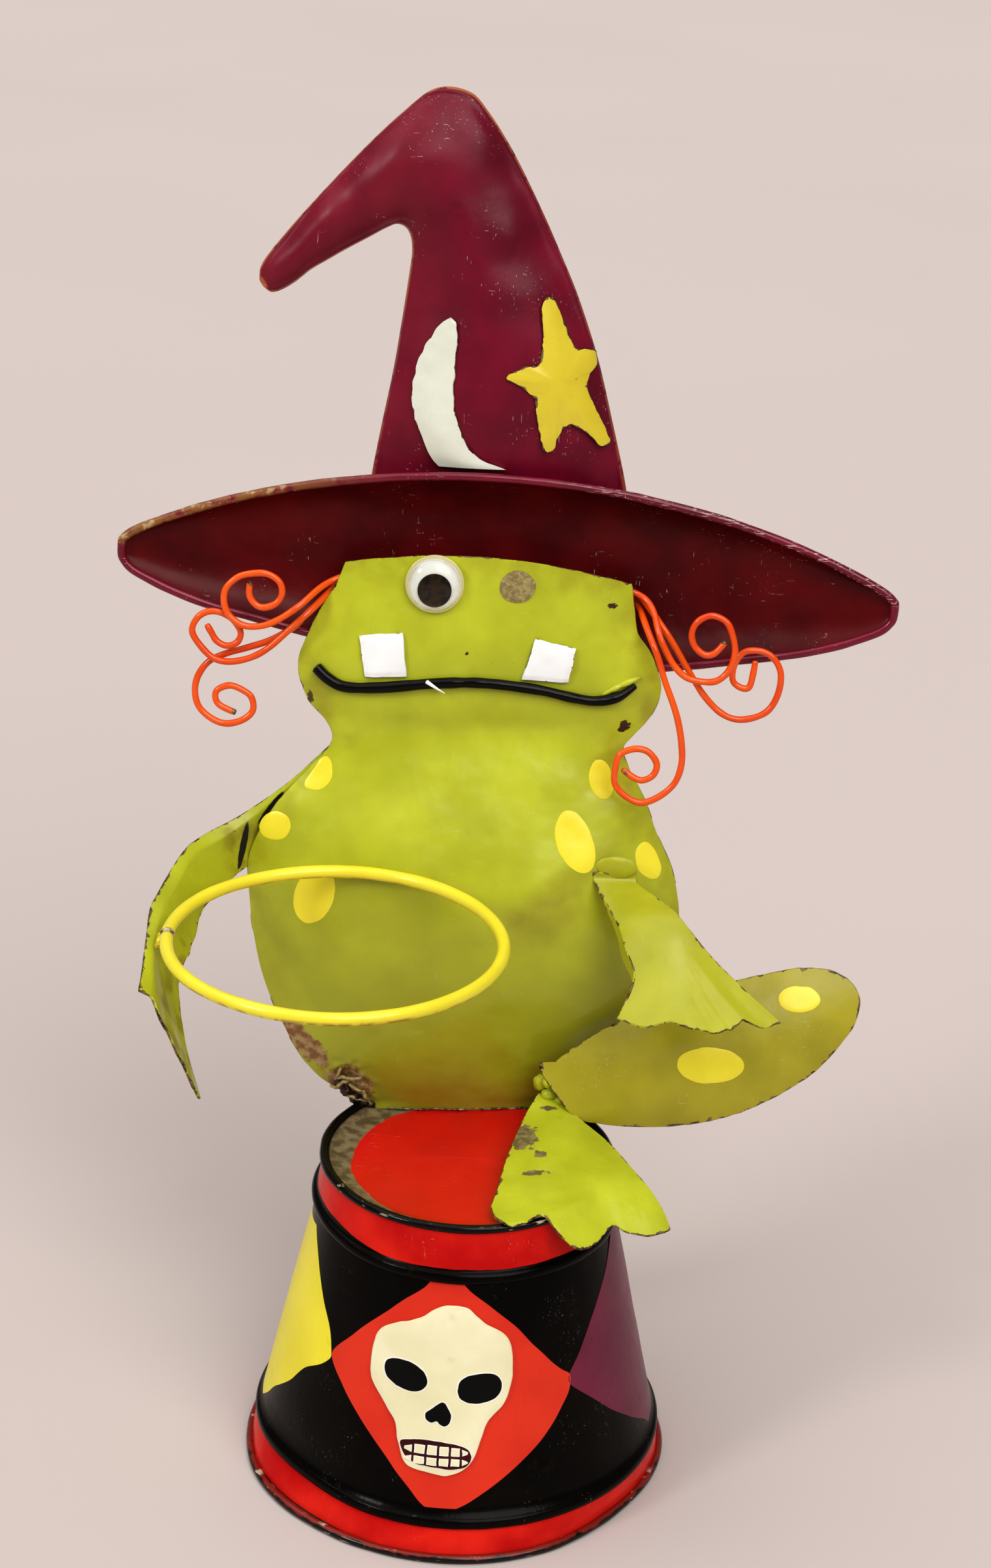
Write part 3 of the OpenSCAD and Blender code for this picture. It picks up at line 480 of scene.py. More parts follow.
def foot_wear(t, colour, rough):
    """Paint rubbed off the foot's left side down to the metal, with a few scratches."""
    tree_patch = []
    for centre, half, turn in (((19.5, 2), (4.2, 7.5), 0), ((25, -9), (2.5, 2.2), 20), ((23, -20), (4.5, 1.4), -8),
                               ((28, 19), (3, 1.2), 0)):
        x = t.math("SUBTRACT", t.axis(0), centre[0])
        y = t.math("SUBTRACT", t.axis(1), centre[1])
        a = t.math("DIVIDE", x, half[0])
        b = t.math("DIVIDE", y, half[1])
        away = t.math("SQRT", t.math("ADD", t.math("MULTIPLY", a, a), t.math("MULTIPLY", b, b)))
        wander = t.math("MULTIPLY", t.math("SUBTRACT", t.noise(2.2, 4), 0.5), 2.2)
        tree_patch.append(t.step(t.math("ADD", away, wander), 1.05, 0.95))
    bare = tree_patch[0]
    for other in tree_patch[1:]:
        bare = t.math("MAXIMUM", bare, other)
    metal = t.colours(t.step(t.noise(3, 4), 0.4, 0.6), (0.13, 0.10, 0.035), (0.24, 0.19, 0.085))
    return t.colours(bare, colour, metal), t.math("ADD", rough, t.math("MULTIPLY", bare, 0.2))


def arm_shade_and_smudges(t, colour, rough):
    """Painted shadow in the slits by the shoulder, where the flange stands off the sheet, and painted shade with brown
    smudges low on the sheet.
    """
    # painted shade, with brown smudges, darkening the low part of the sheet
    low = t.math("MAXIMUM", t.math("MULTIPLY", t.step(t.axis(2), 203, 190), t.step(t.axis(1), 40, 10)),
                 t.math("MULTIPLY", t.step(t.axis(2), 224, 212), t.step(t.axis(1), 38, 46)))
    low_shade_and_smudges = t.math("MULTIPLY", low, t.math("ADD", 0.25, t.math("MULTIPLY", t.step(t.noise(7, 4), 0.45, 0.65), 0.5)))
    colour = t.colours(low_shade_and_smudges, colour, (0.20, 0.15, 0.012))
    # painted shadow: near-black strips where the slits by the shoulder are
    slit_shadow = t.math("MAXIMUM", t.patch((-82.9, 208.9), (8.3, 1.1), 81, 0.2, 0.08, 2),
                  t.patch((-73.9, 221.2), (7.2, 1.1), 54, 0.2, 0.08, 2))
    return t.colours(slit_shadow, colour, (0.006, 0.004, 0.002)), t.math("ADD", rough, t.math("MULTIPLY", slit_shadow, 0.5))


def crown_wear(t, colour, rough):
    """Redder paint out along the bent tip, and a worn orange-brown line round the crown's edge."""
    tip = t.math("MULTIPLY", t.step(t.axis(0), 5, -50), t.step(t.noise(22, 3), 0.25, 0.7))
    colour = t.colours(t.math("MULTIPLY", tip, 0.8), colour, (0.21, 0.013, 0.030))
    edge = t.attribute("edge_mm")
    upper = t.math("MULTIPLY", t.step(t.axis(2), 385, 400), t.step(t.axis(0), 12, -4))
    line = t.math("MULTIPLY", t.step(edge, 2.3, 1.3), t.step(t.noise(4, 4), 0.62, 0.52))
    line = t.math("MULTIPLY", line, t.math("ADD", t.math("MULTIPLY", upper, 0.55), 0.4))
    return t.colours(line, colour, (0.42, 0.13, 0.045)), rough


def eye_rim(t, colour, rough):
    """The card's yellowed rim round the bubble."""
    inside = t.patch((-19.5, 305), (8.7, 8.7), 0, 0.12, 0.02, 2)
    return t.colours(inside, (0.72, 0.65, 0.34), colour), rough


def hoop_wear(t, colour, rough):
    """Brown rubbing on the hoop's underside."""
    near_front = t.math("MULTIPLY", t.step(t.axis(1), -40, -70), 0.7)
    under = t.step(t.math("SUBTRACT", t.axis(2), near_front), 206.9, 205.4)
    worn = t.math("MULTIPLY", under, t.step(t.noise(5, 4, roughness=0.6), 0.42, 0.6))
    colour = t.colours(t.math("MULTIPLY", worn, 0.75), colour, (0.28, 0.13, 0.012))
    return colour, rough


def brim_lip_wear(t, colour, rough):
    """Ochre, then pale scraped paint on the upper left of the brim's rim, and fine scratches on its upper right."""
    left = t.step(t.axis(0), -30, -90)
    top = t.step(t.math("ADD", t.axis(2), t.math("MULTIPLY", t.axis(0), 0.04)), 305, 309)
    worn = t.math("MULTIPLY", t.math("MULTIPLY", left, top), t.step(t.noise(4, 4), 0.28, 0.5))
    pale = t.colours(t.step(t.noise(3, 4), 0.56, 0.64), (0.25, 0.11, 0.025), (0.45, 0.32, 0.16))
    colour = t.colours(t.math("MULTIPLY", worn, 0.9), colour, pale)
    fine = t.step(t.noise(0.5, 2, t.stretched(0.08, 1, 1, (0, 0.3, 0))), 0.60, 0.66)
    fine = t.math("MULTIPLY", t.math("MULTIPLY", fine, top), t.step(t.axis(0), 15, 45))
    colour = t.colours(t.math("MULTIPLY", fine, 0.8), colour, (0.60, 0.42, 0.40))
    return colour, t.math("ADD", rough, t.math("MULTIPLY", worn, 0.15))


def drum_bands(t, colour, rough):
    """Red bands at the drum's foot and top, black between them."""
    z = t.math("ADD", t.axis(2), t.math("MULTIPLY", t.math("SUBTRACT", t.noise(9, 3), 0.5), 0.9))
    red = t.colours(t.step(t.noise(20, 3), 0.3, 0.7), RED_SHADE, (0.66, 0.022, 0.012))
    foot = t.step(z, 12.7, 12.4)
    bead_rise = t.math("MULTIPLY", t.step(t.axis(0), -25, -52), 3.5)
    top = t.step(t.math("SUBTRACT", z, bead_rise), 101.9, 102.2)
    colour = t.colours(t.math("MAXIMUM", foot, top), colour, red)
    tin = t.step(t.attribute("edge_mm"), 60, 80)
    glow = t.colours(t.noise(30, 3), (0.14, 0.11, 0.06), (0.28, 0.24, 0.16))
    return t.colours(tin, colour, glow), t.math("ADD", rough, t.math("MULTIPLY", tin, 0.25))


def foot_rim_wear(t, colour, rough):
    """Red paint from the band above, rubbed and scratched on the foot rim's upper part."""
    z = t.math("ADD", t.axis(2), t.math("MULTIPLY", t.math("SUBTRACT", t.noise(6, 4), 0.5), 3.0))
    colour = t.colours(t.math("MULTIPLY", t.step(z, 2.1, 2.7), 0.8), colour, (0.24, 0.018, 0.010))
    return rubbed_beads(t, colour, rough)


def rubbed_beads(t, colour, rough):
    """Fine bright scratches along a black rim."""
    along = t.noise(0.7, 2, t.stretched(0.12, 0.12, 1.0))
    rub = t.math("MULTIPLY", t.step(along, 0.63, 0.68), t.step(t.noise(12, 2), 0.45, 0.6))
    return t.colours(rub, colour, (0.42, 0.36, 0.26)), rough


def disc_margin(t, colour, rough):
    """The red disc's unpainted margin, wider at the left and the back."""
    centre = t.add("ShaderNodeVectorMath", {0: t.place, 1: (-3.5 * MM, 4.5 * MM, 0)}, operation="ADD")
    flat = t.add("ShaderNodeVectorMath", {0: centre.outputs[0], 1: (1, 1, 0)}, operation="MULTIPLY")
    away = t.add("ShaderNodeVectorMath", {0: flat.outputs[0]}, operation="LENGTH")
    radius = t.math("MULTIPLY", away.outputs["Value"], 1 / MM)
    radius = t.math("ADD", radius, t.math("MULTIPLY", t.math("SUBTRACT", t.noise(8, 3), 0.5), 2.5))
    tin = t.step(radius, 43.0, 43.6)
    metal = t.colours(t.step(t.noise(4, 5), 0.35, 0.65), (0.085, 0.06, 0.028), (0.21, 0.165, 0.09))
    return t.colours(tin, colour, metal), t.math("ADD", rough, t.math("MULTIPLY", tin, 0.25))


def rough_metal(name, light, dark, rough=0.5, metallic=0.5):
    """Weld metal, old glue or debris."""
    t = Tree(name)
    colour = t.colours(t.step(t.noise(1.6, 5), 0.35, 0.65), dark, light)
    t.put(t.shader.inputs["Base Color"], colour)
    t.put(t.shader.inputs["Roughness"], t.math("ADD", t.math("MULTIPLY", t.noise(1.2, 3), 0.3), rough - 0.15))
    t.shader.inputs["Metallic"].default_value = metallic
    bumped = t.add("ShaderNodeBump", {"Height": t.noise(0.8, 4), "Strength": 0.7, "Distance": 0.4 * MM})
    t.put(t.shader.inputs["Normal"], bumped.outputs["Normal"])
    return t.material


def pupil_plastic():
    """Dark brown printed plastic, a little mottled, with a fine bumpy surface."""
    t = Tree("pupil_plastic")
    t.shader.inputs["Specular IOR Level"].default_value = 0.12
    colour = t.colours(t.step(t.noise(2.4, 4), 0.4, 0.62), (0.006, 0.003, 0.001), (0.030, 0.015, 0.004))
    t.put(t.shader.inputs["Base Color"], colour)
    t.put(t.shader.inputs["Roughness"], t.math("ADD", t.math("MULTIPLY", t.noise(1.0, 3), 0.2), 0.3))
    bumped = t.add("ShaderNodeBump", {"Height": t.noise(0.6, 3), "Strength": 0.2, "Distance": 0.1 * MM})
    t.put(t.shader.inputs["Normal"], bumped.outputs["Normal"])
    return t.material


def clear_plastic():
    """Thin clear bubble: see-through, with gloss that grows towards its edge."""
    t = Tree("clear_plastic")
    t.nodes.remove(t.shader)
    clear = t.add("ShaderNodeBsdfTransparent", {"Color": (0.97, 0.98, 0.97, 1)})
    bumped = t.add("ShaderNodeBump", {"Height": t.noise(4, 3), "Strength": 0.08, "Distance": 0.2 * MM})
    gloss = t.add("ShaderNodeBsdfGlossy", {"Color": (1, 1, 1, 1), "Roughness": 0.1,
                                           "Normal": bumped.outputs["Normal"]})
    facing = t.add("ShaderNodeFresnel", {"IOR": 1.5}).outputs[0]
    both = t.add("ShaderNodeMixShader", {0: t.math("MULTIPLY", facing, 0.35), 1: clear.outputs[0], 2: gloss.outputs[0]})
    t.links.new(both.outputs[0], t.nodes["Material Output"].inputs["Surface"])
    return t.material


GREEN_GRIME = (0.30, 0.27, 0.012)
hand_paint = enamel("hand_paint", (0.42, 0.425, 0.022), (0.335, 0.34, 0.014), chips=0.45, grime=0.2, grime_colour=GREEN_GRIME, rough=0.34,
                    chip_mm=1.6, coat=0.05)
# the thigh's green is darker and browner than the body's: painted shade
thigh_shaded_paint = enamel("thigh_shaded_paint", (0.40, 0.355, 0.021), (0.31, 0.275, 0.014), chips=0.6, grime=0.25, grime_colour=GREEN_GRIME, rough=0.36,
                     chip_mm=2.0, coat=0.05)
arm_paint = enamel("arm_paint", GREEN, GREEN_SHADE, chips=0.9, grime=0.3, grime_colour=GREEN_GRIME, rough=0.32,
                   scratches=0.1, extra=arm_shade_and_smudges)
belly_paint = enamel("belly_paint", GREEN, GREEN_SHADE, chips=0.5, grime=0.15, grime_colour=GREEN_GRIME, rough=0.3,
                     chip_mm=0.8, scratches=0.15, extra=belly_wear_and_shade)
foot_paint = enamel("foot_paint", GREEN, GREEN_SHADE, chips=0.8, grime=0.15, grime_colour=GREEN_GRIME, rough=0.3,
                    extra=foot_wear)
blob_paint = enamel("green_blob_paint", GREEN, GREEN_SHADE, chips=0.1, grime=0.2, rough=0.2, bump=0.5)
spot_paint = enamel("yellow_spot_paint", YELLOW, YELLOW_SHADE, chips=0.0, grime=0.1, rough=0.3, scratches=0.1)
hoop_paint = enamel("hoop_paint", YELLOW, YELLOW_SHADE, chips=0.15, grime=0.12, rough=0.24, extra=hoop_wear)
star_paint = enamel("star_paint", (0.69, 0.575, 0.043), (0.62, 0.50, 0.030), chips=1.3, grime=0.12, rough=0.28, scratches=0.1)
moon_paint = enamel("moon_paint", IVORY, IVORY_SHADE, chips=0.4, grime=0.08, rough=0.28, scratches=0.1)
tooth_paint = enamel("tooth_paint", WHITE, WHITE_SHADE, chips=0.1, grime=0.05, rough=0.28, scratches=0.1)
crown_paint = enamel("crown_paint", MAROON, MAROON_SHADE, chips=0.5, grime=0.4, scratches=0.45, rough=0.36,
                     grime_colour=(0.06, 0.003, 0.010), coat=0.0, gloss=0.22, extra=crown_wear)
brim_paint = enamel("brim_paint", BRIM, BRIM_SHADE, chips=0.4, grime=0.3, scratches=0.3, rough=0.34,
                    grime_colour=(0.02, 0.002, 0.003), coat=0.0, gloss=0.15)
lip_paint = enamel("brim_lip_paint", MAROON, MAROON_SHADE, chips=0.5, grime=0.3, scratches=0.5, rough=0.22,
                   grime_colour=(0.04, 0.003, 0.008), coat=0.2, gloss=0.35, extra=brim_lip_wear)
hair_paint = enamel("hair_paint", ORANGE, ORANGE_SHADE, chips=0.55, grime=0.12, rough=0.2, chip_mm=3.0,
                    grime_colour=(0.3, 0.03, 0.005), coat=0.3, scratches=0.1)
mouth_paint = enamel("mouth_paint", BLACK, BLACK_SHADE, chips=0.3, grime=0.0, rough=0.14, coat=0.08, gloss=0.15,
                     scratches=0.0)
drum_paint = enamel("drum_paint", (0.0035, 0.0025, 0.0015), (0.0012, 0.0010, 0.0008), chips=0.25, grime=0.3,
                    grime_colour=(0.018, 0.011, 0.003), rough=0.22, coat=0.0, gloss=0.08, scratches=0.15,
                    extra=drum_bands)
rim_paint = enamel("drum_rim_paint", BLACK, BLACK_SHADE, chips=0.4, grime=0.2, rough=0.14, coat=0.1, gloss=0.15,
                   grime_colour=(0.06, 0.02, 0.01), extra=rubbed_beads)
foot_rim_paint = enamel("drum_foot_rim_paint", BLACK, BLACK_SHADE, chips=0.5, grime=0.3, rough=0.24, coat=0.1,
                        gloss=0.3, grime_colour=(0.06, 0.02, 0.01), extra=foot_rim_wear)
disc_paint = enamel("disc_paint", (0.60, 0.004, 0.006), (0.50, 0.003, 0.005), chips=0.1, grime=0.15, rough=0.24,
                    grime_colour=(0.2, 0.004, 0.004), coat=0.3, scratches=0.2, extra=disc_margin)
scarlet_paint = enamel("scarlet_paint", SCARLET, SCARLET_SHADE, chips=0.0, grime=0.12, rough=0.34,
                       grime_colour=(0.35, 0.02, 0.01), coat=0.0, gloss=0.25, scratches=0.1)
flank_yellow = enamel("flank_yellow_paint", YELLOW, YELLOW_SHADE, chips=0.0, grime=0.15, rough=0.34, coat=0.0,
                      gloss=0.25)
purple_paint = enamel("purple_paint", PURPLE, PURPLE_SHADE, chips=0.0, grime=0.3, rough=0.34,
                      grime_colour=(0.05, 0.012, 0.03), coat=0.0, gloss=0.25, scratches=0.1)
skull_paint = enamel("skull_paint", CREAM, CREAM_SHADE, chips=0.25, grime=0.2, rough=0.34,
                     grime_colour=(0.42, 0.34, 0.14), bump=0.35, coat=0.0, gloss=0.3, scratches=0.1)
socket_paint = enamel("socket_paint", BLACK, BLACK_SHADE, chips=0.0, grime=0.0, rough=0.35, coat=0.0, gloss=0.15,
                      scratches=0.0)
gum_paint = enamel("gum_paint", (0.060, 0.006, 0.008), (0.03, 0.003, 0.004), chips=0.0, grime=0.1, rough=0.35,
                   coat=0.0, gloss=0.15, scratches=0.0)
line_paint = enamel("white_line_paint", (0.86, 0.86, 0.80), (0.78, 0.77, 0.68), chips=0.0, grime=0.1, rough=0.35,
                    coat=0.0, gloss=0.3, scratches=0.0)
weld_metal = rough_metal("weld_metal", (0.30, 0.22, 0.10), (0.05, 0.025, 0.012))
burnt_metal = rough_metal("burnt_metal", (0.055, 0.03, 0.015), (0.010, 0.006, 0.004), 0.45, 0.4)
old_glue = rough_metal("old_glue", (0.34, 0.27, 0.11), (0.20, 0.15, 0.05), 0.4, 0.0)
eye_white = enamel("eye_card", (0.95, 0.95, 0.92), (0.88, 0.88, 0.83), chips=0.0, grime=0.1, rough=0.4,
                   scratches=0.0, extra=eye_rim)
seam_metal = rough_metal("butt_seam", (0.62, 0.54, 0.34), (0.08, 0.04, 0.02), 0.45, 0.2)
clear = clear_plastic()
pupil_black = pupil_plastic()

# ---------- drum ----------

LOWER_BEAD, UPPER_BEAD = 14, 100
WALL_LOW_R, WALL_HIGH_R = 70.1, 51.8
WALL_LOW_Z, WALL_HIGH_Z = 16.5, 97.5
TIN_T = 0.8


def wall_r(z):
    return mix(WALL_LOW_R, WALL_HIGH_R, (z - WALL_LOW_Z) / (WALL_HIGH_Z - WALL_LOW_Z))


def foot_sway(a):
    """The drum's foot is pressed in at the right and out at the left."""
    return -2.8 * np.exp(-((a - 52) / 24) ** 2) + 1.2 * np.exp(-((a + 65) / 18) ** 2)


def dented(a, z):
    """How far the drum's wall wanders from round, at an angle in degrees and a height."""
    a = (np.asarray(a, float) + 180) % 360 - 180
    seam = ease((180 - np.abs(a)) / 12)
    knock = -2.5 * np.exp(-((a + 48) / 22) ** 2 - ((z - 14) / 12) ** 2)
    wavy = 0.25 * lumps(a, z * 0.9, 24, 31) + 0.10 * lumps(a, z, 9, 32)
    return (wavy + knock + foot_sway(a) * ease((14 - z) / 12)) * seam


def on_drum(a, z, out):
    a, z = np.broadcast_arrays(np.asarray(a, float), z)
    r = wall_r(z) + out + dented(a, z)
    w = np.radians(a)
    return np.stack([r * np.sin(w), -r * np.cos(w), z], -1)


def bead_ring(r, z, out=1.7):
    return [(r + out * math.cos(math.radians(a)), z + 2.4 * math.sin(math.radians(a))) for a in range(-80, 81, 16)]


def drum():
    outer = ([(72.8, 2.6), (72.6, 5), (72.0, 8), (71.2, 10.6)] + bead_ring(70.5, LOWER_BEAD)
             + [(wall_r(z), z) for z in range(20, 96, 5)] + bead_ring(51.5, UPPER_BEAD, 2.1)
             + [(51.6, 103.5), (51.2, 107), (50.6, 111), (50.0, 115)])
    profile = outer + [(r - TIN_T, z) for r, z in reversed(outer)]

    def wander(r, z, degrees):
        a = np.where(degrees > 180, degrees - 360, degrees)
        fade = np.minimum(ease(np.abs(180 - np.abs(a)) / 12), 1)
        rise = (3.5 * ease((-a - 30) / 60) - 1.2) * np.exp(-((z - UPPER_BEAD) / 7) ** 2)
        return r + dented(a, z), z + fade * (0.25 * lumps(a, z * 0, 30, 33) * ease((z - 3) / 8) + rise)
    v, f, e = lathe_mesh(profile, 288, closed=True, wobble=wander)
    f = [face[::-1] for face in f]
    # the second half of the profile is the unpainted inside
    e[len(outer) * 288:] = 90
    piece("drum_wall_tin", v, f, drum_paint, "drum_enamel", ["drum_wall"], edge=e, sharp=60)


def ring_piece(name, ring_r, rod_r, z, material, node, seed, roll=0.35, sway=0.0):
    """A rolled rim: a ring whose section wanders a little. sway is its share of the foot's own sway."""
    turn = np.linspace(0, 2 * math.pi, 320, endpoint=False)
    degrees = np.degrees(turn)
    a = np.where(degrees > 180, 360 - degrees, degrees)
    signed = np.where(degrees > 180, degrees - 360, degrees)
    r = ring_r + 0.12 * lumps(a, a * 0, 21, seed) + sway * foot_sway(signed)
    path = np.stack([r * np.sin(turn), -r * np.cos(turn), z + 0.08 * lumps(a, a * 0, 13, seed + 1)], -1)
    v, f, e = rod_mesh(path, rod_r * (1 + 0.08 * lumps(a, a * 0, 7, seed + 2)), 20, closed=True)
    v[:, 2] = np.maximum(v[:, 2], 0.0)
    f = [face[::-1] for face in f]
    # the sheet's end, curled in under the rim
    curl = np.array([(ring_r - rod_r * 1.05 + 0.35 * math.cos(w), z + 0.55 * roll + 0.5 * math.sin(w))
                     for w in np.linspace(0, 2 * math.pi, 10, endpoint=False)])

    def follow(r, z, degrees):
        a = np.where(degrees > 180, degrees - 360, degrees)
        return r + sway * foot_sway(a), z
    v2, f2, e2 = lathe_mesh(curl, 200, closed=True, wobble=follow)
    piece(name, *joined([(v, f, e), (v2, f2, e2)])[:2], material, "black_enamel", [node], sharp=70)


def top_disc():
    profile = [(0.01, 115.0), (15, 114.95), (30, 115.05), (41, 115.0), (43.2, 115.05), (44.6, 115.35),
               (46.4, 115.9), (48.1, 116.2), (48.1, 115.5), (45, 114.4), (43, 114.2), (20, 114.2), (0.01, 114.2)]

    def wander(r, z, degrees):
        a = np.where(degrees > 180, 360 - degrees, degrees)
        inner = ease((46 - r) / 10)
        return r, z + 0.12 * inner * lumps(r * np.cos(np.radians(a)), a * 0.5, 16, 41)
    v, f, e = lathe_mesh(profile, 160, wobble=wander)
    piece("drum_top_tin", v, [face[::-1] for face in f], disc_paint, "red_enamel", ["drum_top_disc"], sharp=50)


def drum_patch(name, rows, material, slot, out=0.14, seed=51):
    """A field of paint on the drum's wall, from rows of (height, left angle, right angle)."""
    z = np.linspace(rows[0][0], rows[-1][0], 110)
    left = at([(row[0], row[1]) for row in rows], z) + 0.25 * lumps(z, z * 0, 5, seed)
    right = at([(row[0], row[2]) for row in rows], z) + 0.25 * lumps(z, z * 0, 5, seed + 1)
    right = np.maximum(right, left + 0.3)
    u = (1 - np.cos(np.linspace(0, math.pi, 48))) / 2
    a = mix(left[:, None], right[:, None], u[None, :])
    grid = on_drum(a, np.repeat(z[:, None], len(u), 1), out)
    v, f, e = sheet_mesh(grid, 0.22, 0.1)
    return piece(name, v, f, material, slot, sharp=60)


def drum_fields():
    drum_patch("drum_diamond_front", [(17.4, -5.2, -2.6), (20, -8.5, 2.5), (24, -12, 8), (31.5, -18, 17), (38, -24, 24.3),
                                      (45, -31, 31), (52, -38, 36.5), (56.5, -43, 38.6), (60, -45.6, 38.8),
                                      (62.5, -45.2, 36), (69, -40, 30), (76.3, -33.4, 24), (82.2, -27.5, 18.7),
                                      (89, -20.5, 10.5), (94.2, -13.6, 3.5), (97.2, -11, 0.5)],
               scarlet_paint, "red_enamel", seed=51)
    drum_patch("drum_diamond_left", [(17.6, -91, -86), (24, -95, -79), (31, -104, -73), (40, -115, -64),
                                     (49, -126, -57), (55, -133, -49.5), (59, -137, -45.8), (61, -137, -46),
                                     (68, -130, -49), (75, -122, -55), (82, -115, -62), (89, -107, -69),
                                     (94, -101, -75), (97.2, -98, -79)], flank_yellow, "yellow_enamel", seed=53)
    drum_patch("drum_diamond_right", [(17.6, 80, 86), (22.7, 75, 92), (30, 66, 100), (38, 57, 109), (46, 49, 117),
                                      (53, 42, 124), (57.8, 38.4, 129), (62, 40.5, 128), (69, 46.5, 122),
                                      (76, 53, 115), (83, 60, 108), (90, 68, 100), (95, 74, 95),
                                      (97.2, 78, 92)], purple_paint, "maroon_enamel", seed=55)
    drum_patch("drum_diamond_back", [(17.6, 172, 180), (24, 165, 187), (31, 158, 194), (40, 147, 205),
                                     (49, 137, 214), (56, 129.5, 221), (60, 129.5, 222), (68, 137, 214),
                                     (76, 146, 206), (84, 155, 197), (92, 165, 188), (97.2, 171, 182)],
               blob_paint, "green_enamel", seed=57)


SKULL_A, SKULL_Z = -5.5, 62
SKULL_OUTLINE = [(-6, 89), (2, 89), (8, 84), (15, 79.5), (17.5, 74), (17.5, 65), (15, 57), (10, 50.5),
    (7.5, 44), (5, 36), (-1, 31.5), (-8, 32), (-14, 34), (-16.5, 40), (-18.5, 48), (-23, 53.5), (-28, 61),
    (-29, 70), (-27, 77), (-21, 81), (-14, 84)]
SKULL_OUT = 1.6
SKULL_BACK = np.array([-math.sin(math.radians(SKULL_A)), math.cos(math.radians(SKULL_A)), 0])


def skull_relief(a, z):
    """The skull's hammered front; skull() turns its rim down a little."""
    return 0.22 * lumps(a, z, 9, 61) + 0.08 * lumps(a, z, 3.5, 62)


def skull():
    edge = closed_curve(SKULL_OUTLINE, 10)
    edge = edge + 0.18 * np.stack([lumps(edge[:, 0], edge[:, 1], 2.5, 63), lumps(edge[:, 1], edge[:, 0], 2.5, 64)], -1)
    rings = []
    for k in np.linspace(0.06, 1, 16):
        a, z = mix(SKULL_A, edge[:, 0], k), mix(SKULL_Z, edge[:, 1], k)
        rings.append(on_drum(a, z, SKULL_OUT + skull_relief(a, z) - 0.35 * ease((k - 0.9) / 0.1)))
    centre = on_drum(SKULL_A, SKULL_Z, SKULL_OUT + skull_relief(SKULL_A, SKULL_Z))
    v, f, e = ringed_mesh(centre, rings, SKULL_BACK, 0.9)
    piece("skull_tin", v, f, skull_paint, "cream_enamel", ["skull_plate"])


def straight_sides(points, n):
    """A polygon's outline with sharp corners, n steps a side."""
    p = np.array(points, float)
    k = np.linspace(0, 1, n, endpoint=False)[None, :, None]
    return mix(p[:, None], np.roll(p, -1, 0)[:, None], k).reshape(-1, 2)


def skull_patch(outline, out, grow=0.0, sharp=False):
    """Paint on the skull inside an outline of (angle, height) points, grown by a width in millimetres."""
    edge = straight_sides(outline, 7) if sharp else closed_curve(outline, 6)
    if np.sum(edge[:, 0] * np.roll(edge[:, 1], -1) - np.roll(edge[:, 0], -1) * edge[:, 1]) > 0:
        edge = edge[::-1]
    middle = edge.mean(0)
    arm = (edge - middle) * [1.08, 1]
    far = np.linalg.norm(arm, axis=1, keepdims=True)
    edge = middle + (edge - middle) * (1 + grow / far)
    edge = edge + 0.09 * np.stack([lumps(edge[:, 0], edge[:, 1], 1.2, 67), lumps(edge[:, 1], edge[:, 0], 1.2, 68)], -1)
    rings = []
    for k in np.linspace(0.12, 1, 9):
        a, z = mix(middle[0], edge[:, 0], k), mix(middle[1], edge[:, 1], k)
        rings.append(on_drum(a, z, SKULL_OUT + out + skull_relief(a, z)))
    centre = on_drum(*middle, SKULL_OUT + out + skull_relief(*middle))
    return ringed_mesh(centre, rings, SKULL_BACK, 0.16, 0.1)


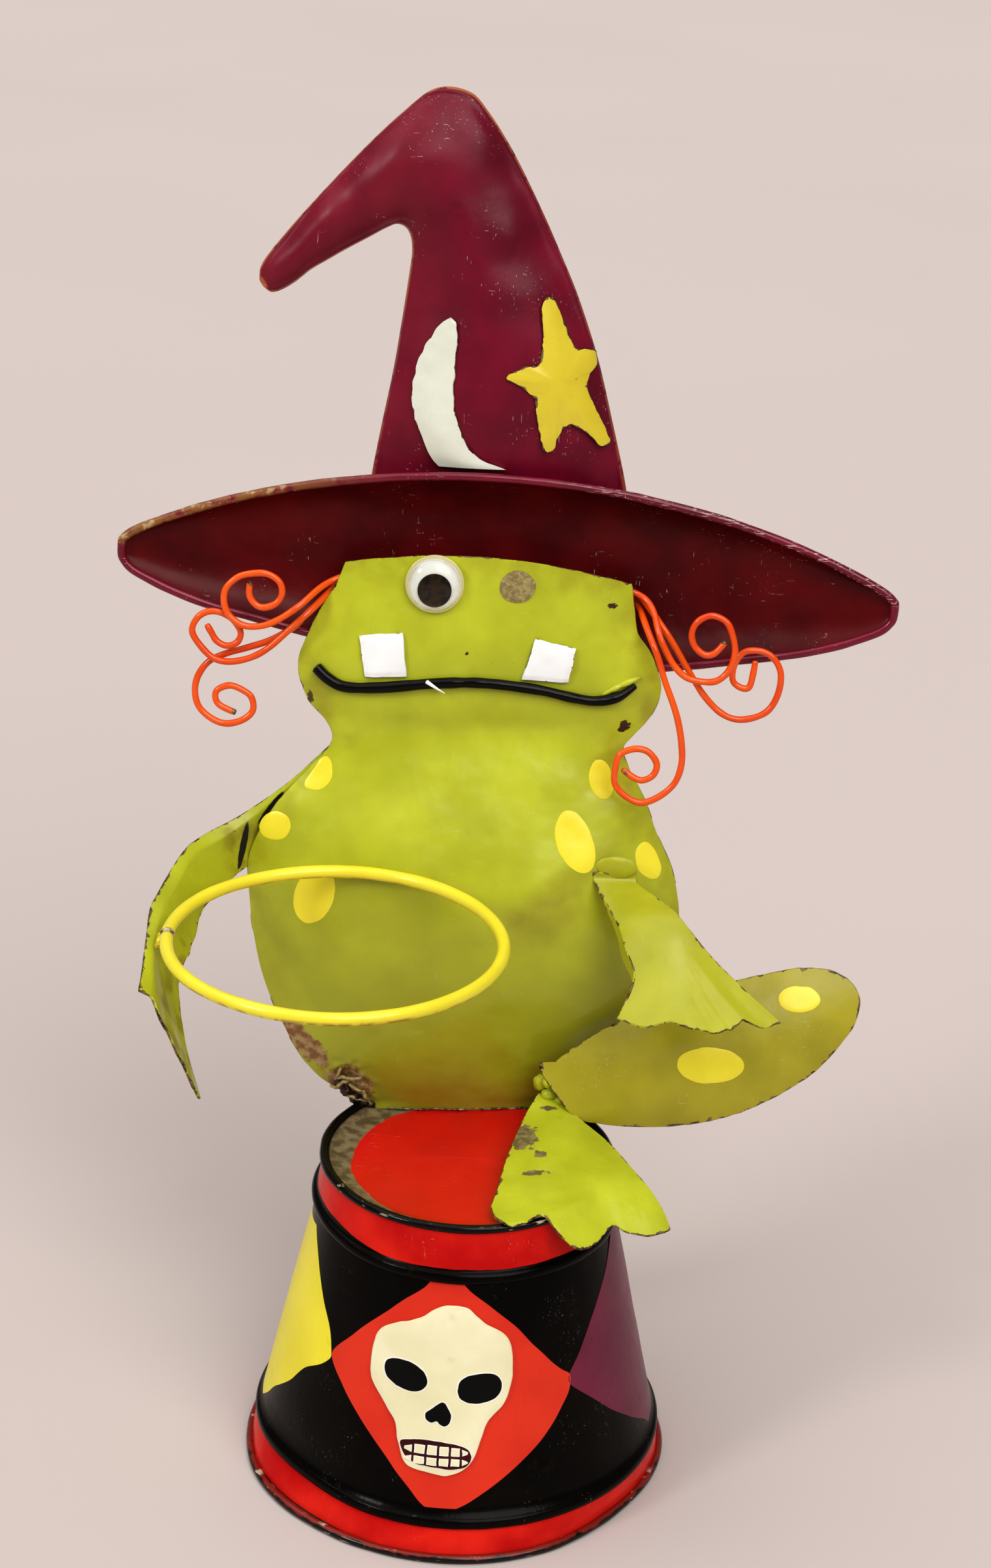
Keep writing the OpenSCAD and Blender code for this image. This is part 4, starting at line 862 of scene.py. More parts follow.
def skull_face():
    left = [(-22.9, 68.4), (-19.4, 69.6), (-15.2, 69.2), (-11.4, 67.2), (-9.6, 64.6), (-9.6, 62), (-11.6, 60),
            (-14.8, 59.4), (-19, 60.4), (-22.6, 62.8), (-23.7, 65.8)]
    right = [(0.4, 61), (1.0, 64.5), (3.6, 66.3), (8.2, 67), (12, 66.4), (14, 64), (13.8, 60.8), (11.6, 58.2),
             (8.2, 57), (4.4, 57), (1.4, 58.6)]
    nose = [(-4.2, 57), (-6.9, 54.8), (-9, 52.8), (-9, 50.8), (-7.3, 49.7), (-5.6, 50.3), (-4.6, 49.4),
            (-3.1, 48.9), (-1.8, 50), (-1.4, 52.4), (-2.2, 54.8)]
    mouth = [(-16, 41.6), (-13, 42.9), (-8.2, 43.4), (-1.5, 43), (3.3, 41.5), (4.9, 39), (4.7, 36.6), (3, 34.7),
             (-0.6, 33.8), (-6, 34.1), (-11, 34.8), (-14.2, 37)]
    fields = [left, right, nose]
    outlines = [skull_patch(p, 0.05, 0.5) for p in fields] + [skull_patch(mouth, 0.05, 0.3)]
    piece("skull_outlines", *joined(outlines)[:2], line_paint, "ivory_enamel")
    piece("skull_sockets", *joined([skull_patch(p, 0.14) for p in fields])[:2], socket_paint, "black_enamel")
    piece("skull_gum", *skull_patch(mouth, 0.14)[:2], gum_paint, "maroon_enamel")
    whites, creams = [], []
    for row, (high, low) in enumerate(((41.3, 38.5), (37.5, 34.9))):
        edges = [-15.0, -12.0, -8.2, -4.6, -1.2, 2.0, 4.4]
        for i in range(len(edges) - 1):
            a, b = edges[i] + 0.36, edges[i + 1] - 0.36
            bow = 1.3 * (1 - ((a + b) / 2 + 5.5) ** 2 / 90)
            top = high + (0.7 * bow - 0.4 if row == 0 else 0)
            foot = low + (0 if row == 0 else 0.5 - 0.5 * bow)
            left_end, right_end = 0.9 * (i == 0), 0.9 * (i == len(edges) - 2)
            corners = [(a, foot + left_end), (a, top - left_end), (b, top - right_end), (b, foot + right_end)]
            whites.append(skull_patch(corners, 0.20, 0.0, True))
            inner = [tuple(mix(np.mean(corners, axis=0), np.array(c), 0.78)) for c in corners]
            creams.append(skull_patch(inner, 0.26, 0.0, True))
    piece("skull_tooth_edges", *joined(whites)[:2], line_paint, "ivory_enamel")
    piece("skull_teeth", *joined(creams)[:2], skull_paint, "cream_enamel")


# ---------- body and head ----------

BODY_LEFT = [(0, -33), (3, -36.5), (6, -45), (14, -56), (28, -66), (50, -76), (80, -81), (94, -80), (111, -71),
    (124, -60), (133, -53), (140, -55), (148, -62), (160, -65.5), (168, -63.5), (179, -58.5), (188, -53.5),
    (200, -49)]
BODY_RIGHT = [(0, 22), (3, 26.5), (6, 35), (14, 45), (28, 57), (50, 67), (75, 70.5), (92, 67), (105, 61),
    (117, 56), (129, 49.5), (135, 47.5), (139.5, 50.5), (144, 54.5), (149, 57.5), (156, 59.5), (163, 58),
    (171, 54), (176, 50.5), (184, 49), (200, 46)]
BELLY_H = 15
BODY_BULGE = [(0, 1.5), (15, 8), (45, 0.95 * BELLY_H), (75, BELLY_H), (100, 0.85 * BELLY_H), (122, 6), (136, 2.5),
              (150, 5), (165, 6), (180, 5.6), (192, 5), (202, 4.2)]
FOOT_TURN = 0.13
BODY_TOP_LEFT, BODY_TOP_RIGHT, BODY_ARCH = 196, 192.5, 6
SHEET_T = 1


def body_n(x, s):
    left, right = at(BODY_LEFT, s), at(BODY_RIGHT, s)
    u = np.clip((x - left) / (right - left), 0, 1)
    swell = at(BODY_BULGE, s) * (1 - np.abs(2 * u - 1) ** 2.4)
    return swell - FOOT_TURN * x * (1 - ease(s / 60))


def body_relief(x, s):
    """Hammer marks, a fold under the chin and another across the chest, and the crumple by the torn corner."""
    face = ease((s - 138) / 16)
    dents = hammered(x, s, 71, 0.55, 21) * (1 - 0.5 * face) + 0.5 * lumps(x, s, 42, 77) * (1 - face)
    chin = -0.9 * np.exp(-((s - 140 - 0.04 * x) / 5.5) ** 2) * np.exp(-(x / 40) ** 4)
    chest = 1.1 * np.exp(-((s - 86 - 0.5 * (x - 20)) / 9) ** 2) * np.exp(-((x - 5) / 32) ** 2)
    torn = np.exp(-(((x + 43) / 7) ** 2 + ((s - 11) / 6.5) ** 2))
    crumple = torn * (-2.2 + 1.6 * lumps(x, s, 2.4, 75) + 0.7 * lumps(x, s, 1.2, 76))
    return dents + chin + chest + crumple


def body_front(x, s, out=0.0):
    return on_frog(x, s, body_n(x, s) + body_relief(x, s) + out)


def body():
    rows, cols = 300, 150
    u = (1 - np.cos(np.linspace(0, math.pi, cols))) / 2
    arch = BODY_ARCH * (1 - (2 * u - 1) ** 2)
    top = mix(BODY_TOP_LEFT, BODY_TOP_RIGHT, u) + arch
    s = np.linspace(0, 1, rows)[:, None] * top[None, :]
    left = at(BODY_LEFT, s) + 0.10 * lumps(s, s * 0, 6, 73)
    right = at(BODY_RIGHT, s) + 0.10 * lumps(s, s * 0, 6, 74)
    x = mix(left, right, u[None, :])
    v, f, e = sheet_mesh(body_front(x, s), SHEET_T)
    piece("frog_body_tin", v, f, belly_paint, "green_enamel", ["body_plate"], edge=e)


def oval(centre, half, tilt, bend=0.0, n=44):
    """Outline of a bean or oval spot, clockwise."""
    w = -np.linspace(0, 2 * math.pi, n, endpoint=False)
    a, b = half[0] * np.cos(w), half[1] * np.sin(w)
    a = a + bend * (b / half[1]) ** 2
    c, s = math.cos(math.radians(tilt)), math.sin(math.radians(tilt))
    p = np.stack([centre[0] + c * a - s * b, centre[1] + s * a + c * b], -1)
    return p + 0.22 * np.stack([lumps(p[:, 0], p[:, 1], 3, 81), lumps(p[:, 1], p[:, 0], 3, 82)], -1)


def spot_mesh(outline, surface, thick=0.22):
    """A pool of thick paint on a surface given as surface(x, y, out)."""
    middle = outline.mean(0)
    rings = []
    for k in np.linspace(0.08, 1, 12):
        p = mix(middle, outline, k)
        rings.append(surface(p[:, 0], p[:, 1], thick - 0.14 * k**8))
    return ringed_mesh(surface(*middle, thick), rings, -FRONT, 0.3, 0.1)


def body_spots():
    ovals = [oval((-56.4, 120.8), (3.5, 6.5), -35, -2.0), oval((-72, 102.2), (5.9, 4.7), 25, 0.4),
             oval((-57.3, 79.8), (6.9, 10.6), -20, 0.3), oval((40.4, 124.2), (4.1, 6.9), 16, 0.5),
             oval((32.4, 103), (6.1, 11.2), 24, 0.5), oval((58.2, 95.6), (4.0, 6.9), 24, 0.6)]
    piece("body_spots", *joined([spot_mesh(p, body_front) for p in ovals])[:2], spot_paint, "yellow_enamel")


def torn_corner():
    """Torn scraps, weld beads and dried glue where the other leg broke off."""
    strips = []
    for seed, (x, s, turn, length) in enumerate([(-46, 10, 30, 8), (-40, 8, -35, 8), (-37, 5, -60, 7),
                                                (-43, 13, 5, 9), (-40, 4, -15, 8), (-47, 14, 60, 6)]):
        k = np.linspace(0, 1, 16)
        w = math.radians(turn)
        x0 = x + length * (k - 0.5) * math.cos(w) + 0.8 * lumps(k * 9, k * 0, 2, 91 + seed)
        s0 = s + length * (k - 0.5) * math.sin(w) + 0.8 * lumps(k * 9, k * 0 + 9, 2, 91 + seed)
        n0 = body_n(x0, s0) + 0.2 + 0.9 * np.sin(k * math.pi) + 0.4 * lumps(k * 9, k * 0 + 5, 2, 95 + seed)
        strips.append(rod_mesh(on_frog(x0, s0, n0), 0.55 + 0.25 * lumps(k * 9, k * 0, 1.5, 90 + seed), 9))
    beads = [blob_mesh(on_frog(x, s, body_n(x, s) - 0.4), (r, r * 0.8, r), 96 + i, rough=0.3)
             for i, (x, s, r) in enumerate([(-44, 7, 1.9), (-41, 4, 2.2), (-38, 2.5, 1.9), (-35.5, 1.4, 1.6),
                                            (-46.5, 10, 1.6)])]
    piece("torn_corner_scraps", *joined(strips)[:2], old_glue, "weld_metal", ["leg_stub"])
    piece("torn_corner_weld", *joined(beads)[:2], burnt_metal, "weld_metal")


def seat_weld():
    """Beads and a thin bright line of bare tin along the body's foot."""
    x = np.linspace(-29, 20, 60)
    line = on_frog(x, 0.5 + 0.2 * lumps(x, x * 0, 3, 101), body_n(x, x * 0) + 0.35)
    run = rod_mesh(line, 0.32 + 0.16 * lumps(x, x * 0, 2.2, 102), 8)
    beads = [blob_mesh(on_frog(a, 0.6, body_n(a, 0) - 1.5), (1.7, 1.2, 1.1), 103 + i) for i, a in
             enumerate((-24, -4, 14))]
    piece("seat_weld_line", *joined([run] + beads)[:2], weld_metal, "weld_metal", ["body_seat_weld"])


# ---------- arm and hoop ----------

ARM_OUTER = [(-54, 56, 244), (-69, 54, 229.5), (-83, 50, 219.5), (-95, 42, 215), (-101, 33, 213),
    (-105.5, 20, 209), (-107.5, 8, 207.5), (-109, -3, 206.5), (-108, -20, 205), (-107, -38, 203.5),
    (-106, -54, 201)]
ARM_FOLD = [(-54, 55.5, 240), (-71, 53, 226), (-81, 49, 217.5), (-91, 41, 213), (-98, 33, 211), (-102, 20, 207),
    (-104.5, 8, 205), (-105.5, -3, 205), (-105.5, -20, 203.5), (-104, -36, 202), (-102, -53, 198.5)]
ARM_LOW = [(-54, 55.5, 228), (-71, 53.5, 212), (-78.5, 51, 202), (-85, 42.5, 199), (-91, 33, 195.5),
    (-94.5, 24, 194), (-95.5, 8, 191.5), (-96.5, -5, 190), (-98, -18, 188.5), (-94, -36, 176), (-87, -50, 161)]


def smoothed(g, axis, passes):
    """Rounds sharp folds of a grid along one axis, and leaves its borders."""
    for _ in range(passes):
        g = g.copy()
        if axis == 1:
            g[:, 1:-1] = (g[:, :-2] + 2 * g[:, 1:-1] + g[:, 2:]) / 4
        else:
            g[1:-1] = (g[:-2] + 2 * g[1:-1] + g[2:]) / 4
    return g


def arm():
    steps, lip, face = 14, 9, 44
    outer, fold, low = (open_curve(p, steps) for p in (ARM_OUTER, ARM_FOLD, ARM_LOW))
    last = len(outer) - 1
    rows = []
    for i in range(last, -1, -1):
        strip = [mix(outer[i], fold[i], k) for k in np.linspace(0, 1, lip, endpoint=False)]
        strip += [mix(fold[i], low[i], k) for k in np.linspace(0, 1, face)]
        rows.append(strip)
    g = smoothed(np.array(rows), 1, 3)
    u = np.concatenate([np.zeros(lip), np.linspace(0, 1, face)])
    toes = 2.2 * np.abs(np.sin(3 * math.pi * u)) - 1 + 0.7 * lumps(u * 40, u * 0, 2.2, 111)
    fade = ease(1 - np.arange(last + 1) / 12)[:, None, None]
    g = g + fade * toes[None, :, None] * np.array([0.3, -1, -0.25])
    ragged = 0.35 * lumps(g[:, -1, 1], g[:, -1, 2], 2.6, 112)
    g[:, -1] = g[:, -1] + ragged[:, None] * unit(g[:, -1] - g[:, -3])
    normal = grid_normals(g)
    inner = np.minimum(u, 1 - u)[None, :] * 4
    g = g + (np.clip(inner, 0, 1) * hammered(g[..., 1], g[..., 2], 113, 0.4, 12))[..., None] * normal
    v, f, e = sheet_mesh(g, SHEET_T)
    piece("hoop_arm_tin", v, f, arm_paint, "green_enamel", ["arm_plate"], edge=e)
    beads = [blob_mesh(on_frog(x, s, -2.6), (2.4, 1.7, 2.2), 115 + i) for i, (x, s) in
             enumerate(((-53, 119), (-57, 114), (-62, 108)))]
    piece("shoulder_beads", *joined(beads)[:2], weld_metal, "weld_metal", ["shoulder_weld"])


HOOP_AT = np.array([-46, -24, 207.5])
HOOP_R, HOOP_ROD = 55, 2.2


def hoop():
    """The hoop: one length of rod, bent round, its ends butted and tacked at the left."""
    turn = np.linspace(math.radians(182.2), math.radians(540 - 1.2), 260)
    a = np.degrees(turn)
    r = HOOP_R + 0.25 * lumps(a, a * 0, 40, 121)
    path = HOOP_AT + np.stack([r * np.cos(turn), r * np.sin(turn), 0.2 * lumps(a, a * 0, 50, 122)], -1)
    v, f, e = rod_mesh(path, HOOP_ROD * (1 + 0.03 * lumps(a, a * 0, 9, 123)), 24, blunt=0.8)
    piece("hoop_rod", v, f, hoop_paint, "yellow_enamel", ["hoop"], edge=e, sharp=50)
    beads = [blob_mesh(HOOP_AT + [-HOOP_R - 2.2, y, -2.5], (1.7, 1.9, 1.4), 125 + i) for i, y in enumerate((3, 0, -3))]
    piece("hoop_beads", *joined(beads)[:2], hoop_paint, "yellow_enamel", ["hoop_weld"])
    seam = blob_mesh(HOOP_AT + [-HOOP_R, 0.4, 0.2], (2.25, 0.9, 2.2), 129, rough=0.12)
    piece("hoop_butt_seam", *seam[:2], seam_metal, "weld_metal")


# ---------- the other hand ----------

HAND_LEFT = [(39.5, 37.2, 208.5), (40, 36.4, 205.5), (44.5, 27, 200.5), (48.5, 18, 197), (50.5, 10, 193),
    (53.5, 2, 187.5), (51, -6, 181.5), (48.5, -12, 178)]
HAND_RIGHT = [(54, 39.8, 208), (55, 38.2, 204.5), (61.5, 28, 204), (66.5, 20, 203.5), (71.5, 14, 200),
    (80, 9, 192), (92, 2, 183), (103.5, -5, 175.5)]
HAND_TOES = [(0, 0), (0.15, 3.6), (0.32, 2), (0.42, 4), (0.58, 6), (0.7, 3.6), (0.76, 0.6), (0.9, 2.4), (1, 0)]


def hand():
    steps, cols = 14, 90
    left, right = open_curve(HAND_LEFT, steps), open_curve(HAND_RIGHT, steps)
    last = len(left) - 1
    run = np.arange(last, -1, -1) / last
    u = np.linspace(0, 1, cols)
    g = mix(left[::-1][:, None], right[::-1][:, None], u[None, :, None])
    k = ease((run - 0.55) / 0.45)[:, None]
    toes = at(HAND_TOES, u)[None, :] + 0.5 * lumps(u * 60, u * 0, 1.7, 131)[None, :] * ease((u - 0.25) / 0.2)
    g = g + (k * toes)[..., None] * np.array([0.1, -0.6, -0.65])
    arch = 2.5 * np.sin(math.pi * u)[None, :] * ease(run * 4 - 0.8)[:, None]
    g = g + arch[..., None] * np.array([0, -0.5, 0.8])
    g = g + hammered(g[..., 0], g[..., 1], 132, 0.25, 14)[..., None] * grid_normals(g)
    front = sheet_mesh(g, SHEET_T, 0.4)
    side = []
    for i in range(left.shape[0] - 1 - steps, 24, -1):
        w = math.sin(math.pi * (left.shape[0] - steps - i) / (left.shape[0] - steps - 24))
        side.append([left[i] + k * (np.array([-0.6, 1.2, -3.4]) * w + [-0.3, 0, -0.4]) for k in np.linspace(1, 0, 8)])
    v, f, e = joined([front, sheet_mesh(np.array(side), 0.8)])
    piece("chest_hand_tin", v, f, hand_paint, "green_enamel", ["hand_plate"], edge=e)
    # a smooth lump of weld metal over the root, under the paint
    piece("hand_root_weld", *blob_mesh((46.9, 38.9, 209.9), (7.4, 1.2, 4.2), 135, 20, 40, rough=0.05)[:2],
          hand_paint, "green_enamel", ["hand_weld"])


# ---------- thigh and foot ----------

LEAF = [(24, 139), (29, 141), (38, 147.5), (51, 155), (71, 163), (91, 170), (109, 174.5), (118, 175.5),
    (126, 174.5), (132, 171), (135, 165.5), (134, 159), (130.5, 153), (122.5, 143.5), (112.5, 136), (99.5, 129),
    (86.5, 124.5), (73.5, 122), (59.5, 121), (46, 121.5), (36, 124)]
LEAF_MID = np.array([80, 146.0])
LEAF_LEAN, LEAF_BULGE = 0.38, 6


def leaf_share(x, z):
    """How far out towards the leaf's outline a point is, from 0 at its middle to 1."""
    edge = closed_curve(LEAF, 8) - LEAF_MID
    turn = np.arctan2(edge[:, 1], edge[:, 0])
    order = np.argsort(turn)
    p = np.stack([x - LEAF_MID[0], z - LEAF_MID[1]], -1)
    reach = np.interp(np.arctan2(p[..., 1], p[..., 0]), turn[order], np.linalg.norm(edge, axis=1)[order],
                      period=2 * math.pi)
    return np.linalg.norm(p, axis=-1) / reach


def on_leaf(x, z, out=0.0, share=None):
    x, z = np.asarray(x, float), np.asarray(z, float)
    k = leaf_share(x, z) if share is None else share
    y = 25.5 + LEAF_LEAN * (z - 145) - LEAF_BULGE * (1 - k * k) * ease((x - 20) / 40)
    y = y - hammered(x, z, 141, 0.32, 14) * (1 - 0.6 * k) - out
    return np.stack([x + 0 * y, y, z + 0 * y], -1)


def thigh():
    edge = closed_curve(LEAF, 12)
    edge = edge + 0.15 * np.stack([lumps(edge[:, 0], edge[:, 1], 2.5, 143), lumps(edge[:, 1], edge[:, 0], 2.5, 144)], -1)
    shares = np.concatenate([np.linspace(0.03, 0.9, 30), np.linspace(0.92, 1, 8)])
    rings = [on_leaf(*mix(LEAF_MID, edge, k).T, share=k) for k in shares]
    v, f, e = ringed_mesh(on_leaf(*LEAF_MID, share=0), rings, [0, 1, -LEAF_LEAN], SHEET_T)
    piece("thigh_tin", v, f, thigh_shaded_paint, "green_enamel", ["thigh_plate"], edge=e)
    pointed = oval((83.4, 144.6), (11.8, 6.0), 0)
    spots = [spot_mesh(pointed, on_leaf), spot_mesh(oval((113.6, 166.4), (7.3, 4.0), 0), on_leaf)]
    piece("thigh_spots", *joined(spots)[:2], spot_paint, "yellow_enamel")


FOOT_LEFT = [(25, 28, 127.5), (20, 16, 124.5), (16, 1, 122.3), (13, -14, 121), (10.8, -29, 120),
    (9, -40, 119.6), (10.5, -46, 119.6)]
FOOT_RIGHT = [(35.5, 23, 124.5), (40, 15, 123), (49, 3, 121.5), (57, -12, 120), (62, -20, 118), (67, -28, 114),
    (69.5, -34, 110.5)]
FOOT_TOES = [(0, 0), (0.04, 3.5), (0.09, 5.2), (0.17, 3.2), (0.27, 0.3), (0.36, 7), (0.46, 12.5), (0.56, 8.5),
    (0.66, 0.3), (0.75, 2.2), (0.86, 3.6), (0.95, 2), (1, 0)]
FOOT_DROOP = [(0, 0), (0.25, 0), (0.36, -0.1), (0.46, -0.2), (0.56, -0.25), (0.66, -0.3), (0.8, -0.3), (1, 0)]
DRUM_H, TOP_RIM_R = 118, 51.2


def foot():
    steps, cols = 14, 110
    left, right = open_curve(FOOT_LEFT, steps), open_curve(FOOT_RIGHT, steps)
    last = len(left) - 1
    run = np.arange(last, -1, -1) / last
    u = np.linspace(0, 1, cols)
    k = ease((run - 0.6) / 0.4)[:, None]
    g = mix(left[::-1][:, None], right[::-1][:, None], u[None, :, None])
    reach = k * (at(FOOT_TOES, u) + 0.3 * lumps(u * 70, u * 0, 2, 151))[None, :]
    g = g + reach[..., None] * np.stack([0.05 + 0 * u, -1 + 0 * u, at(FOOT_DROOP, u)], -1)[None]
    arch = 2.2 * np.sin(math.pi * u)[None, :] * ease(run * 3)[:, None] * (1 - k)
    g[..., 2] += arch
    out = np.maximum(np.hypot(g[..., 0], g[..., 1]) - TOP_RIM_R - 0.6, 0)
    g[..., 2] = np.maximum(g[..., 2], DRUM_H + SHEET_T + 0.4 - 0.9 * out)
    g = smoothed(smoothed(g, 1, 3), 0, 3)
    g[..., 2] += np.abs(hammered(g[..., 0], g[..., 1], 152, 0.2, 13))
    v, f, e = sheet_mesh(g, SHEET_T, 0.4)
    piece("foot_tin", v, f, foot_paint, "green_enamel", ["foot_plate"], edge=e)
    beads = [blob_mesh((x, y, z), size, 155 + i, rough=0.12) for i, (x, y, z, size) in enumerate([
        (24.5, 27, 131, (2.4, 2.2, 3.0)), (28, 25.2, 127.6, (3.0, 2.2, 2.2)), (33, 24.2, 125.9, (3.6, 1.9, 1.7)),
        (27, 23.4, 133.4, (2.0, 1.8, 2.2)), (38, 22.6, 124.4, (3.2, 1.5, 1.2))])]
    piece("thigh_beads", *joined(beads)[:2], blob_paint, "green_enamel", ["thigh_weld"])


# ---------- face ----------

MOUTH = [(-59, 159.5), (-55, 156), (-49, 153.5), (-37, 154), (-19, 156.5), (-2, 157.5), (16, 156), (29, 153.5),
    (37, 152.5), (44.5, 154), (50.5, 158)]
MOUTH_R = 1.8


def mouth():
    line = open_curve(MOUTH, 14)
    x, s = line[:, 0], line[:, 1]
    r = MOUTH_R * (1 + 0.07 * lumps(x, x * 0, 4, 161)) * (0.55 + 0.45 * ease((51 - x) / 8)) * (1 + 0.06 * ease(-x / 30))
    v, f, e = rod_mesh(body_front(x, s, MOUTH_R - 0.3), r, 20, blunt=0.6)
    piece("mouth_wire_black", v, f, mouth_paint, "black_enamel", ["mouth_wire"], edge=e)
    # one loose curl of dried paint along the wire
    x = np.linspace(-21, -14.6, 18)
    s = np.linspace(157.6, 153.8, 18)
    lift = 3.6 + 0.5 * np.sin((x + 21) / 6.4 * math.pi)
    fleck = rod_mesh(body_front(x, s, lift), 0.75 - 0.6 * np.linspace(0, 1, 18), 8)
    piece("dried_paint_curl", *fleck[:2], tooth_paint, "white_enamel")
    # green paint run over the wire's right end
    k = np.linspace(0, 1, 40)
    x, s = mix(39.0, 52.5, k), mix(153.9, 160.9, k**0.8)
    r = 1.0 * np.sin(math.pi * k) ** 0.5 * (1 + 0.4 * lumps(x, s, 1.8, 165)) + 0.1
    piece("mouth_corner_paint", *rod_mesh(body_front(x, s, 0.4), r, 14)[:2], blob_paint, "green_enamel")



def tooth(name, corners, seed, node):
    n = 26
    a, b, c, d = (np.array(p, float) for p in corners)
    k = np.linspace(0, 1, n)
    p = mix(mix(a, b, k[:, None])[None], mix(d, c, k[:, None])[None], k[:, None, None])
    wander = 0.25 * np.stack([lumps(p[..., 1], p[..., 0], 3.5, seed), lumps(p[..., 0], p[..., 1], 3.5, seed + 1)], -1)
    p = p + wander
    roll = 0.35 * (1 - ease(np.minimum(k, 1 - k) * 8))
    out = 1.7 + 0.16 * lumps(p[..., 0], p[..., 1], 4, seed + 2) - roll[:, None] - roll[None, :]
    v, f, e = sheet_mesh(on_frog(p[..., 0], p[..., 1], body_n(p[..., 0], p[..., 1]) + out), 1.1, 0.2)
    piece(name, v, f, tooth_paint, "white_enamel", [node], edge=e)


def teeth():
    tooth("tooth_left_tin", [(-42.5, 157.4), (-28, 158.4), (-30, 173.5), (-44.5, 171.5)], 171, "tooth_left")
    tooth("tooth_right_tin", [(11.5, 159.4), (27.5, 158.6), (29.5, 170.5), (15.5, 173.5)], 175, "tooth_right")


EYE_X, EYE_S, EYE_R = -19.5, 191, 10
EYE_N = float(body_n(EYE_X, EYE_S - EYE_R)) + 0.4
EYE_AXES = (RIGHT, UP, FRONT)
PUPIL_R, PUPIL_OFF = 5.8, 2.1


def arc(r0, h0, r1, h1, n):
    """A quarter bulge from (r0, h0) at the rim up to (r1, h1) on the axis."""
    return [(r1 + (r0 - r1) * math.cos(w), h0 + (h1 - h0) * math.sin(w)) for w in np.linspace(0, math.pi / 2, n)]


def eye():
    centre = on_frog(EYE_X, EYE_S, EYE_N)
    card = [(0.01, 1.0), (8.2, 1.0), (9.7, 0.98), (9.95, 0.8), (10, 0.5), (9.95, 0.1), (9.7, 0), (0.01, 0)]
    v, f, e = lathe_mesh(card, 72, centre, EYE_AXES)
    piece("eye_card_white", v, f, eye_white, "eye_white", ["eye_back"], sharp=40)
    outer = [(10, 1.02), (10, 1.55), (9.75, 1.7), (9.2, 1.72), (8.95, 1.95)] + arc(8.75, 2.1, 0.01, 5.2, 22)
    inner = arc(8.35, 1.6, 0.01, 4.8, 22)[::-1] + [(8.45, 1.25), (8.6, 1.02)]
    v, f, e = lathe_mesh(outer + inner, 72, centre, EYE_AXES, closed=True)
    piece("eye_bubble", v, f, clear, "eye_clear", ["eye_dome"], sharp=40)
    disc = [(0.01, 1.75), (5.3, 1.75), (5.7, 1.68), (5.8, 1.5), (5.75, 1.25), (5.5, 1.2), (0.01, 1.2)]
    v, f, e = lathe_mesh(disc, 56, centre - PUPIL_OFF * UP, EYE_AXES)
    piece("eye_pupil_disc", v, f, pupil_black, "pupil_black", ["eye_pupil"], body="pupil", sharp=40)
    # dried glue where the other eye was: a thin uneven disc
    glue = oval((8.6, 191), (6.0, 5.6), 10)
    rings = [body_front(*mix(np.array([8.6, 191]), glue, k).T, 0.34 - 0.1 * k**6) for k in np.linspace(0.1, 1, 10)]
    v, f, e = ringed_mesh(body_front(8.6, 191, 0.34), rings, -FRONT, 0.35, 0.1)
    piece("glue_mark", v, f, old_glue, "old_glue", ["eye_glue_spot"])


# ---------- hat ----------

BRIM_MID, BRIM_TILT, BRIM_N = (5.5, 194), math.radians(2.3), -3.2
BRIM_A, BRIM_DEPTH, BRIM_END = 134, 11, 0.99
BRIM_ABOVE = [(-0.25, 30.7), (0, 32.4), (0.25, 30.7), (0.5, 25.4), (0.65, 20.4), (0.75, 16.2), (0.85, 11), (0.93, 6.2),
              (0.97, 3.2), (0.99, 0.6)]
BRIM_BELOW = [(-0.25, 31.4), (0, 33), (0.25, 31.4), (0.5, 26.4), (0.65, 22.4), (0.75, 19.8), (0.85, 15.8),
              (0.93, 11.4), (0.97, 8.4), (0.99, 4.8)]


def brim_share(k):
    """The brim's height at k as a share of its greatest."""
    return (at(BRIM_ABOVE, np.abs(k)) + at(BRIM_BELOW, np.abs(k))) / (32.4 + 33)


def brim_across(k, v):
    return v * np.where(v < 0, at(BRIM_BELOW, np.abs(k)), at(BRIM_ABOVE, np.abs(k)))


def on_brim(k, v, n):
    """k runs from tip to tip, v from the lower to the upper edge."""
    a, b = BRIM_A * k, brim_across(k, v)
    return on_frog(BRIM_MID[0] + a * math.cos(BRIM_TILT) + b * math.sin(BRIM_TILT),
                   BRIM_MID[1] - a * math.sin(BRIM_TILT) + b * math.cos(BRIM_TILT), BRIM_N + n)


def brim():
    k = -BRIM_END * np.cos(np.linspace(0, math.pi, 220))[None, :]
    v = -np.cos(np.linspace(0, math.pi, 70))[:, None]
    k, v = k + 0 * v, v + 0 * k
    dish = -BRIM_DEPTH * brim_share(k) * (1 - v**4)
    x, s = BRIM_A * k, brim_across(k, v)
    dish = dish + hammered(x, s, 181, 0.3, 16) * (1 - v**6)
    verts, f, e = sheet_mesh(on_brim(k, 0.97 * v, dish + SHEET_T), SHEET_T)
    piece("hat_brim_tin", verts, f, brim_paint, "maroon_enamel", ["hat_brim"])
    half = 150
    k = -BRIM_END * np.cos(np.linspace(0, math.pi, half + 1))
    upper, lower = on_brim(k, 1.0, 0.4), on_brim(k[1:-1][::-1], -1.0, 0.4)
    path = np.concatenate([upper, lower])
    path = smoothed(np.concatenate([path[-6:], path, path[:6]])[None], 1, 4)[0][6:-6]
    r = 1.5 * (1 + 0.07 * lumps(path[:, 0], path[:, 2], 6, 183))
    verts, f, e = rod_mesh(path, r, 18, closed=True)
    piece("hat_brim_lip", verts, f, lip_paint, "maroon_enamel", ["brim_rim"], sharp=60)


